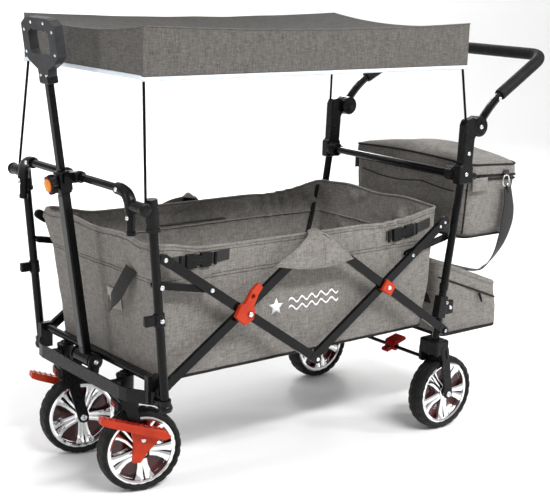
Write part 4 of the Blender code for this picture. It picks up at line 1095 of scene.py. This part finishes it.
def end_cap(name, at, way, body, y0, y1, side):
    """A rounded plastic cap over a bar's end."""
    at, way = Vector(at), Vector(way).normalized()
    lift = Vector((0, 1, 0)).cross(way).normalized()
    radius = 0.0112
    outline = []
    for i in range(13):
        turn = -math.pi / 2 + math.pi * i / 12
        outline.append(at + way * (radius * math.cos(turn)) + lift * (radius * math.sin(turn)))
    outline += [at - way * 0.022 + lift * radius, at - way * 0.022 - lift * radius]
    bm = bmesh.new()
    lows, highs = ([bm.verts.new(p + Vector((0, y * side, 0))) for p in outline] for y in (y0, y1))
    bm.faces.new(lows)
    bm.faces.new(list(reversed(highs)))
    bridge(bm, lows, highs)
    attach(rounded(made_mesh(name, bm, PLASTIC), 0.0016, 3, 35.0), body)


def scissor_trims(tag, side):
    face = (0, side, 0)
    leftwards = Vector((-math.cos(SLOPE), 0, math.sin(SLOPE)))
    rightwards = Vector((math.cos(SLOPE), 0, math.sin(SLOPE)))
    front_cross, rear_cross = Vector((X1, 0, CROSS_Z)), Vector((X2, 0, CROSS_Z))
    top_a, top_d = front_cross + leftwards * 0.257, rear_cross + rightwards * 0.24
    for cap, at, way, bar, y0, y1 in (
            ("a_", top_a, leftwards, "front_outer", 0.2552, BAR_OUT),
            ("a_low_", (MID_X, 0, PIVOT_Z), -leftwards, "front_outer", 0.2566, BAR_OUT),
            ("c_low_", (REAR_X, 0, PIVOT_Z), -leftwards, "rear_outer", 0.2566, BAR_OUT),
            ("d_", top_d, rightwards, "rear_inner", 0.2437, 0.2553),
            ("b_low_", (FRONT_X, 0, PIVOT_Z), -rightwards, "front_inner", 0.244, 0.2549)):
        end_cap("bar_cap_" + cap + tag, at, way, "scissor_" + bar, y0, y1, side)
    link_spot = front_cross + leftwards * 0.1116
    bolts("bolts_bar_a_" + tag, facing(face, (link_spot.x, BAR_OUT * side - 0.001 * side, link_spot.z),
                                       (MID_X, BAR_OUT * side, PIVOT_Z),
                                       (top_a.x + 0.002, BAR_OUT * side, top_a.z - 0.002)),
          "scissor_front_outer")
    bolts("bolt_bar_c_" + tag, facing(face, (REAR_X, BAR_OUT * side, PIVOT_Z)), "scissor_rear_outer")
    bolts("bolts_bar_d_" + tag, facing(face, (top_d.x - 0.004, 0.2552 * side, top_d.z - 0.003),
                                       (top_d.x - 0.018, 0.2544 * side, top_d.z - 0.012)),
          "scissor_rear_inner", 0.0036, 0.0026)
    link_spot = rear_cross + rightwards * 0.1116
    bolts("bolt_link_rear_" + tag, facing(face, (link_spot.x, 0.2543 * side, link_spot.z)),
          "scissor_rear_inner", 0.0048, 0.003)
    bolts("bolt_post_link_" + tag, facing(face, (-0.388, 0.274 * side, 0.497)), "front_frame", 0.0056, 0.0032)
    # red block at the rear crossing, with its bolt
    turn = Matrix.Rotation(SLOPE, 4, "Y")
    blocks("cross_block_" + tag,
           [(*mirrored((X2 - 0.017, BAR_OUT, CROSS_Z - 0.0135),
                       (X2 + 0.017, BAR_OUT + 0.0075, CROSS_Z + 0.0135), side), turn),
            (*mirrored((X2 - 0.013, 0.256, CROSS_Z - 0.0138), (X2 + 0.013, BAR_OUT, CROSS_Z - 0.011), side),
             turn, (X2, BAR_OUT * side, CROSS_Z))], RED, 0.0018, "scissor_rear_outer")
    bolts("cross_bolt_" + tag, facing(face, (X2, (BAR_OUT + 0.0072) * side, CROSS_Z)),
          "scissor_rear_outer", 0.0058, 0.0034)
    bolts("latch_bolt_" + tag, facing(face, (X1, 0.2806 * side, CROSS_Z)),
          "scissor_front_outer", 0.006, 0.003)


def sleeve(name, low, high, y, lean, radius, material, body, ribs=0):
    """A moulded sleeve round a post, with optional ribs."""
    bore = 0.0099
    low_at, high_at = Vector((lean(low), y, low)), Vector((lean(high), y, high))
    length = (high_at - low_at).length
    profile = [(bore, 0.0), (radius - 0.001, 0.0), (radius, 0.0012)]
    for k in range(ribs):
        at = length * (k + 0.5) / ribs
        profile += [(radius, at - 0.0016), (radius + 0.0011, at), (radius, at + 0.0016)]
    profile += [(radius, length - 0.0012), (radius - 0.001, length), (bore, length)]
    turned_ring(name, profile, low_at, high_at - low_at, material, 28, body)


def front_trims(tag, side):
    y = POST_Y * side
    face = (0, side, 0)
    # clip on the post, with a hook that points forward
    sleeve("post_clip_" + tag, 0.414, 0.442, y, front_x, 0.0122, BLACK_PLASTIC, "front_frame")
    blocks("post_clip_hook_" + tag, [((-0.425, y - 0.006, 0.418), (-0.4, y + 0.006, 0.44))],
           BLACK_PLASTIC, 0.003, "front_frame")
    bolts("post_clip_bolt_" + tag, facing(face, (front_x(0.428), y + 0.0118 * side, 0.428)), "front_frame")
    # boss end rings and collars
    turned("cap_boss_ring_" + tag, [(0.0132, -0.002), (0.014, 0.0), (0.014, 0.003), (0.0128, 0.0042),
                                    (0.0128, 0.006), (0.0104, 0.0078), (0.006, 0.0084)],
           (-0.433, 0.276 * side, 0.663), face, PLASTIC, 30, "front_frame")
    sleeve("cap_collar_" + tag, 0.613, 0.622, y, front_x, 0.015, PLASTIC, "front_frame")
    sleeve("foot_collar_" + tag, 0.23, 0.242, y, front_x, 0.015, BLACK_PLASTIC, "front_frame", 1)
    # elbows over the rail's bends, and plugs in its ends
    run = rounded_path([(RAIL_X, -RAIL_END_Y, 0.612), (RAIL_X, -RAIL_END_Y, RAIL_Z),
                        (RAIL_X, RAIL_END_Y, RAIL_Z), (RAIL_X, RAIL_END_Y, 0.612)], 0.042, 14)
    bend = [p for p in dense(run, 0.004) if p.y * side > 0.176 and p.z > 0.648]
    tubes("rail_elbow_" + tag, [bend], 0.013, 18, PLASTIC, "front_rail", 60.0)
    bolts("rail_elbow_bolts_" + tag, facing((-1, 0, 0), (-0.4465, 0.19 * side, RAIL_Z),
                                            (-0.443, RAIL_END_Y * side, 0.638)), "front_rail", 0.005, 0.003)
    turned("rail_end_plug_" + tag, [(0.0094, -0.004), (0.01, 0.0), (0.0094, 0.006), (0.005, 0.0075)],
           (RAIL_X, RAIL_END_Y * side, 0.608), (0, 0, -1), BLACK_PLASTIC, 20, "front_rail")
    turned("housing_top_" + tag, [(0.0196, 0.0), (0.02, 0.0015), (0.0196, 0.004), (0.014, 0.006),
                                  (0.0125, 0.0062), (0.0118, 0.0095), (0.006, 0.011)],
           (CASTER_X, CASTER_Y * side, 0.27), (0, 0, 1), BLACK_PLASTIC, 28, "front_frame")


def rear_trims(tag, side):
    face = (0, side, 0)
    # sleeve bracket low on the post
    x = rear_x(0.325)
    blocks("post_bracket_low_" + tag,
           [(*mirrored((x - 0.015, 0.2325, 0.296), (x + 0.013, 0.255, 0.352), side),
             Matrix.Rotation(math.atan(0.14), 4, "Y")),
            mirrored((x + 0.008, 0.24, 0.303), (x + 0.038, 0.253, 0.338), side)],
           PLASTIC, 0.0028, "rear_frame")
    bolts("post_bracket_low_bolts_" + tag, facing(face, (x + 0.027, 0.2526 * side, 0.32),
                                                  (x + 0.013, 0.2526 * side, 0.334)),
          "rear_frame", 0.005, 0.0028)
    y = REAR_POST_Y * side
    sleeve("post_clip_rear_" + tag, 0.366, 0.384, y, rear_x, 0.0112, BLACK_PLASTIC, "rear_frame")
    bolts("post_clip_rear_bolt_" + tag, facing((1, 0, 0), (rear_x(0.375) + 0.0105, y, 0.375)),
          "rear_frame", 0.0046, 0.003)
    # rail clamp: bolts and a ribbed collar
    bolts("clamp_bolts_" + tag, facing(face, (0.506, 0.257 * side, 0.654), (0.51, 0.257 * side, 0.705)),
          "rear_frame", 0.0054, 0.0032)
    ribs = []
    for k in range(6):
        at = 0.0035 * k
        ribs += [(0.0166, at), (0.0176, at + 0.0009), (0.0176, at + 0.0022), (0.0166, at + 0.0031)]
    turned_ring("clamp_collar_" + tag, [(0.0096, 0.0), *ribs, (0.0096, ribs[-1][1] + 0.0006)],
                (0.496, 0.206 * side, 0.653), face, BLACK_PLASTIC, 30, "rear_frame")
    # push handle hub discs and bolt
    turned("push_hub_disc_" + tag, [(0.0246, -0.002), (0.025, 0.0), (0.024, 0.0022), (0.02, 0.003),
                                    (0.019, 0.0022), (0.011, 0.0022), (0.01, 0.0036), (0.007, 0.004)],
           (PUSH_X, 0.2535 * side, PUSH_Z), face, BLACK_PLASTIC, 36, "push_handle")
    bolts("push_hub_bolt_" + tag, facing(face, (PUSH_X, 0.257 * side, PUSH_Z)), "push_handle", 0.0058, 0.0034)
    turned("push_hub_inner_" + tag, [(0.0238, -0.002), (0.024, 0.0), (0.0228, 0.0022), (0.012, 0.0026),
                                     (0.008, 0.004)],
           (PUSH_X, 0.2232 * side, PUSH_Z), (0, -side, 0), BLACK_PLASTIC, 36, "rear_frame")
    # fork trims
    slots = []
    for way in (-1, 1):
        slot_y = REAR_HUB_Y * side + way * 0.0328
        slots.append([(0.465, slot_y, 0.196), (0.46, slot_y, 0.216)])
    tubes("fork_slots_" + tag, slots, 0.003, 10, PLASTIC, "rear_frame", 38.0)
    ends = [((REAR_HUB_X, (REAR_HUB_Y + way * 0.0323) * side, HUB_Z), (0, side * way, 0)) for way in (-1, 1)]
    bolts("rear_axle_bolts_" + tag, ends, "rear_frame", 0.0078, 0.0042)


def caster_trims(tag, side):
    def spot(x, y, z):
        return swivelled(x, y, z, side)

    caster = "caster_" + tag
    blocks("caster_fender_" + tag, [((CASTER_X - 0.025, -0.025, 0.1985), (CASTER_X - 0.004, 0.025, 0.217))],
           PLASTIC, 0.0032, caster, place=lambda co: spot(*co))
    blocks("caster_insert_" + tag, [((CASTER_X - 0.0275, -0.013, 0.203), (CASTER_X - 0.024, 0.013, 0.213))],
           DARK_RED, 0.001, caster, 2, lambda co: spot(*co))
    bolts("front_axle_bolts_" + tag, [(spot(CASTER_X + TRAIL, way * 0.0322, HUB_Z), swivelled_way(0, way, 0))
                                      for way in (-1, 1)], caster, 0.0078, 0.003)
    # ribbed tread on the lever's foot pad, and its bolt
    x, z = CASTER_X + 0.028, 0.134
    start, end = Vector((x - 0.096, 0.0, z + 0.0665)), Vector((x + 0.046, 0.0, z + 0.0192))
    ribs = []
    for k in range(11):
        here = start.lerp(end, (k + 0.7) / 11.4)
        ribs.append([spot(here.x, side * y, here.z + 0.0002) for y in (0.0362, 0.056)])
    tubes("lever_ribs_" + tag, ribs, 0.0012, 8, RED_TOP, "caster_lever_" + tag, flat=0.8)
    bolts("lever_bolt_" + tag, [(spot(x, side * 0.0432, z), swivelled_way(0, side, 0))],
          "caster_lever_" + tag, 0.0056, 0.0032)


# ---- pull handle ----------------------------------------------------------------------------
HANDLE_LEAN = math.radians(8.0)
HANDLE_UP = Vector((-math.sin(HANDLE_LEAN), 0.0, math.cos(HANDLE_LEAN)))
HANDLE_OUT = Vector((-HANDLE_UP.z, 0.0, HANDLE_UP.x))
HANDLE_BASE = Vector((-0.4045, 0.0, 0.279))


def on_handle(reach, forward=0.0, y=0.0):
    return HANDLE_BASE + HANDLE_UP * reach + HANDLE_OUT * forward + Vector((0.0, y, 0.0))


def handle_trims():
    turn = Matrix((HANDLE_OUT, Vector((0, 1, 0)), HANDLE_UP)).transposed()

    def plate(name, reach0, reach1, half_y, forward0, forward1, material, body, bevel=0.001):
        blocks(name, [((forward0, -half_y, reach0), (forward1, half_y, reach1))], material, bevel, body,
               place=lambda co: HANDLE_BASE + turn @ co)

    plate("handle_face", 0.03, 0.374, 0.0098, 0.0094, 0.0112, GREY_PAINT, "pull_handle")
    plate("handle_collar_lip", 0.4203, 0.4258, 0.0128, -0.0122, 0.0122, PLASTIC, "pull_handle", 0.0016)
    plate("handle_collar_back", 0.382, 0.42, 0.0105, -0.0175, -0.0125, PLASTIC, "pull_handle", 0.0016)
    # star knob with an orange face
    centre = on_handle(0.402, 0.0136)

    def star(angle, r, h):
        return 0.002 * math.cos(angle * 8) * smooth_step((r - 0.012) / 0.006)

    knob = turned("knob_body", [(0.0095, 0.0004), (0.0125, 0.0012), (0.015, 0.004), (0.0186, 0.0062),
                                (0.02, 0.01), (0.02, 0.0165), (0.0186, 0.02), (0.016, 0.0212),
                                (0.015, 0.0206)], centre, HANDLE_OUT, PLASTIC, 96, "handle_knob", star)
    stands_for(knob, "handle_knob")
    turned("knob_ring", [(0.0152, 0.02), (0.0152, 0.0214), (0.0144, 0.022), (0.013, 0.0216)],
           centre, HANDLE_OUT, RED_TOP, 48, "handle_knob")
    turned("knob_face", [(0.0132, 0.0212), (0.0132, 0.0224), (0.012, 0.0238), (0.007, 0.0248), (0.002, 0.025)],
           centre, HANDLE_OUT, ORANGE, 48, "handle_knob")
    # discs on the barrel's ends
    x, _, z = HANDLE_BASE
    for tag, side in SIDES:
        turned("barrel_disc_" + tag, [(0.0168, -0.003), (0.0176, -0.001), (0.0176, 0.001), (0.015, 0.0022),
                                      (0.009, 0.0024)],
               (x, 0.0402 * side, z), (0, side, 0), PLASTIC, 36, "front_frame")
        bolts("barrel_bolt_" + tag, facing((0, side, 0), (x, 0.042 * side, z)), "front_frame", 0.0056, 0.003)
    # grip screws and a band at its neck
    screws = ((-0.06, 0.676), (-0.058, 0.722), (-0.026, 0.738), (0.026, 0.738), (0.058, 0.722), (0.06, 0.676),
              (-0.011, 0.63), (0.011, 0.63))
    bolts("grip_screws", [(on_handle(reach, 0.0102, y), HANDLE_OUT) for y, reach in screws],
          "handle_extension", 0.0034, 0.0016)
    plate("grip_neck_band", 0.6135, 0.629, 0.0192, -0.0122, 0.0122, PLASTIC, "handle_extension", 0.002)
    # cradle sleeves where the handle rests on the rail
    bm = bmesh.new()
    for way in (-1, 1):
        add_turned(bm, [(0.0094, 0.0), (0.012, 0.0), (0.0128, 0.0015), (0.0128, 0.013), (0.012, 0.0145),
                        (0.0094, 0.0145)], (RAIL_X, 0.02 * way, RAIL_Z), (0, way, 0), 26, ring=True)
    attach(made_mesh("cradle_sleeves", bm, BLACK_PLASTIC), "front_rail")


# ---- push handle ----------------------------------------------------------------------------
def push_foam():
    corners = []
    for side in (-1, 1):
        leg = [(PUSH_X, 0.244 * side, PUSH_Z), (0.602, 0.244 * side, 0.83), (0.796, 0.2295 * side, 0.934)]
        corners += leg if side < 0 else leg[::-1]
    run = rounded_path(corners, 0.042, 12)
    start = next(i for i, p in enumerate(run) if p.x > 0.622)
    first = run[start - 1].lerp(run[start], 0.4)
    foam = [first] + dense(run[start:len(run) - start], 0.008) + [Vector((first.x, -first.y, first.z))]
    radii = [0.0138] + [0.015] * (len(foam) - 2) + [0.0138]
    obj = tubes("push_grip_foam", [foam], radii, 24, FOAM, "push_handle", 60.0)
    stands_for(obj, "push_handle_foam")
    along = (foam[1] - foam[0]).normalized()
    for tag, side in SIDES:
        at = Vector((first.x, abs(first.y) * side, first.z))
        way = Vector((along.x, -abs(along.y) * side, along.z))
        spot = at - way * 0.01 + Vector((0, 0.0092 * side, -0.002))
        bolts("push_button_" + tag, facing((0, side, -0.2), spot), "push_handle", 0.0052, 0.003)


# ---- build ----------------------------------------------------------------------------------
wheels()
tub()
tub_details()
print_motif()
side_flaps()
floor_mat()
roof()
cooler_bag()
shoulder_strap()
rear_pocket()
for side_tag, side_sign in SIDES:
    for trims in (scissor_trims, front_trims, rear_trims, caster_trims):
        trims(side_tag, side_sign)
handle_trims()
push_foam()


# ---- stage, light and camera ----------------------------------------------------------------
def stage():
    bm = bmesh.new()
    rows = [[bm.verts.new(Vector((x, y, z)) - SHIFT)
             for y, z in ((-8.0, 0.0), (3.5, 0.0), (4.6, 0.12), (5.6, 0.6), (6.2, 1.5), (6.4, 3.0), (6.4, 8.0))]
            for x in (-9.0, 9.0)]
    for k in range(6):
        bm.faces.new((rows[0][k], rows[1][k], rows[1][k + 1], rows[0][k + 1]))
    look = Shader("studio_white", roughness=0.95, Specular_IOR_Level=0.2)
    look.colour(look.noise(0.6), (0.94 * 0.995,) * 3, (0.94,) * 3)
    floor = made_mesh("studio_sweep", bm, look.made, 180.0)
    floor.matrix_world = Matrix.Rotation(math.radians(-39.0), 4, "Z")


def area_light(name, place, target, size, power):
    data = bpy.data.lights.new(name, "AREA")
    data.shape = "RECTANGLE"
    data.size, data.size_y = size
    data.energy = power
    obj = bpy.data.objects.new(name, data)
    obj.location = place
    obj.rotation_euler = (Vector(target) - Vector(place)).to_track_quat("-Z", "Y").to_euler()
    bpy.context.scene.collection.objects.link(obj)


def camera():
    """The photograph's camera, as fitted to the frame; the lens comes from a focal length in pixels."""
    yaw, pitch, roll = (math.radians(a) for a in (38.967, 13.043, 1.8624))
    ahead = Vector((math.sin(yaw) * math.cos(pitch), math.cos(yaw) * math.cos(pitch), -math.sin(pitch)))
    level = ahead.cross(Vector((0, 0, 1))).normalized()
    upright = level.cross(ahead)
    right = level * math.cos(roll) + upright * math.sin(roll)
    up = -level * math.sin(roll) + upright * math.cos(roll)
    data = bpy.data.cameras.new("camera")
    data.lens = 1240.64 * 36.0 / 550.0
    data.sensor_width = 36.0
    obj = bpy.data.objects.new("camera", data)
    turn = Matrix((right, up, -ahead)).transposed().to_4x4()
    obj.matrix_world = Matrix.Translation(Vector((-1.7312, -2.2914, 1.1434)) + SHIFT) @ turn
    bpy.context.scene.collection.objects.link(obj)
    bpy.context.scene.camera = obj


stage()
camera()
area_light("overhead", (0.2, 0.6, 4.2), (0, 0, 0.3), (2.6, 2.6), 34)
area_light("near_strip", (-0.1, -2.9, 3.3), (0, 0, 0.4), (2.6, 0.35), 142)
area_light("near_edge_strip", (2.6, -2.4, 2.6), (0, 0, 0.4), (0.25, 1.8), 40)
area_light("front_strip", (-3.4, 0.3, 1.8), (0, 0, 0.5), (0.35, 2.2), 26)
area_light("back_strip", (2.2, 2.8, 2.2), (0, 0, 0.5), (0.6, 2.2), 55)
area_light("sweep_light", (-0.6, 3.6, 3.6), (-0.6, 5.6, 0.6), (5.0, 1.2), 170)
world = bpy.data.worlds.new("studio")
world.use_nodes = True
world.node_tree.nodes["Background"].inputs["Color"].default_value = (1.0, 1.0, 1.0, 1.0)
world.node_tree.nodes["Background"].inputs["Strength"].default_value = 0.5
bpy.context.scene.world = world
bpy.context.scene.view_settings.view_transform = "Standard"
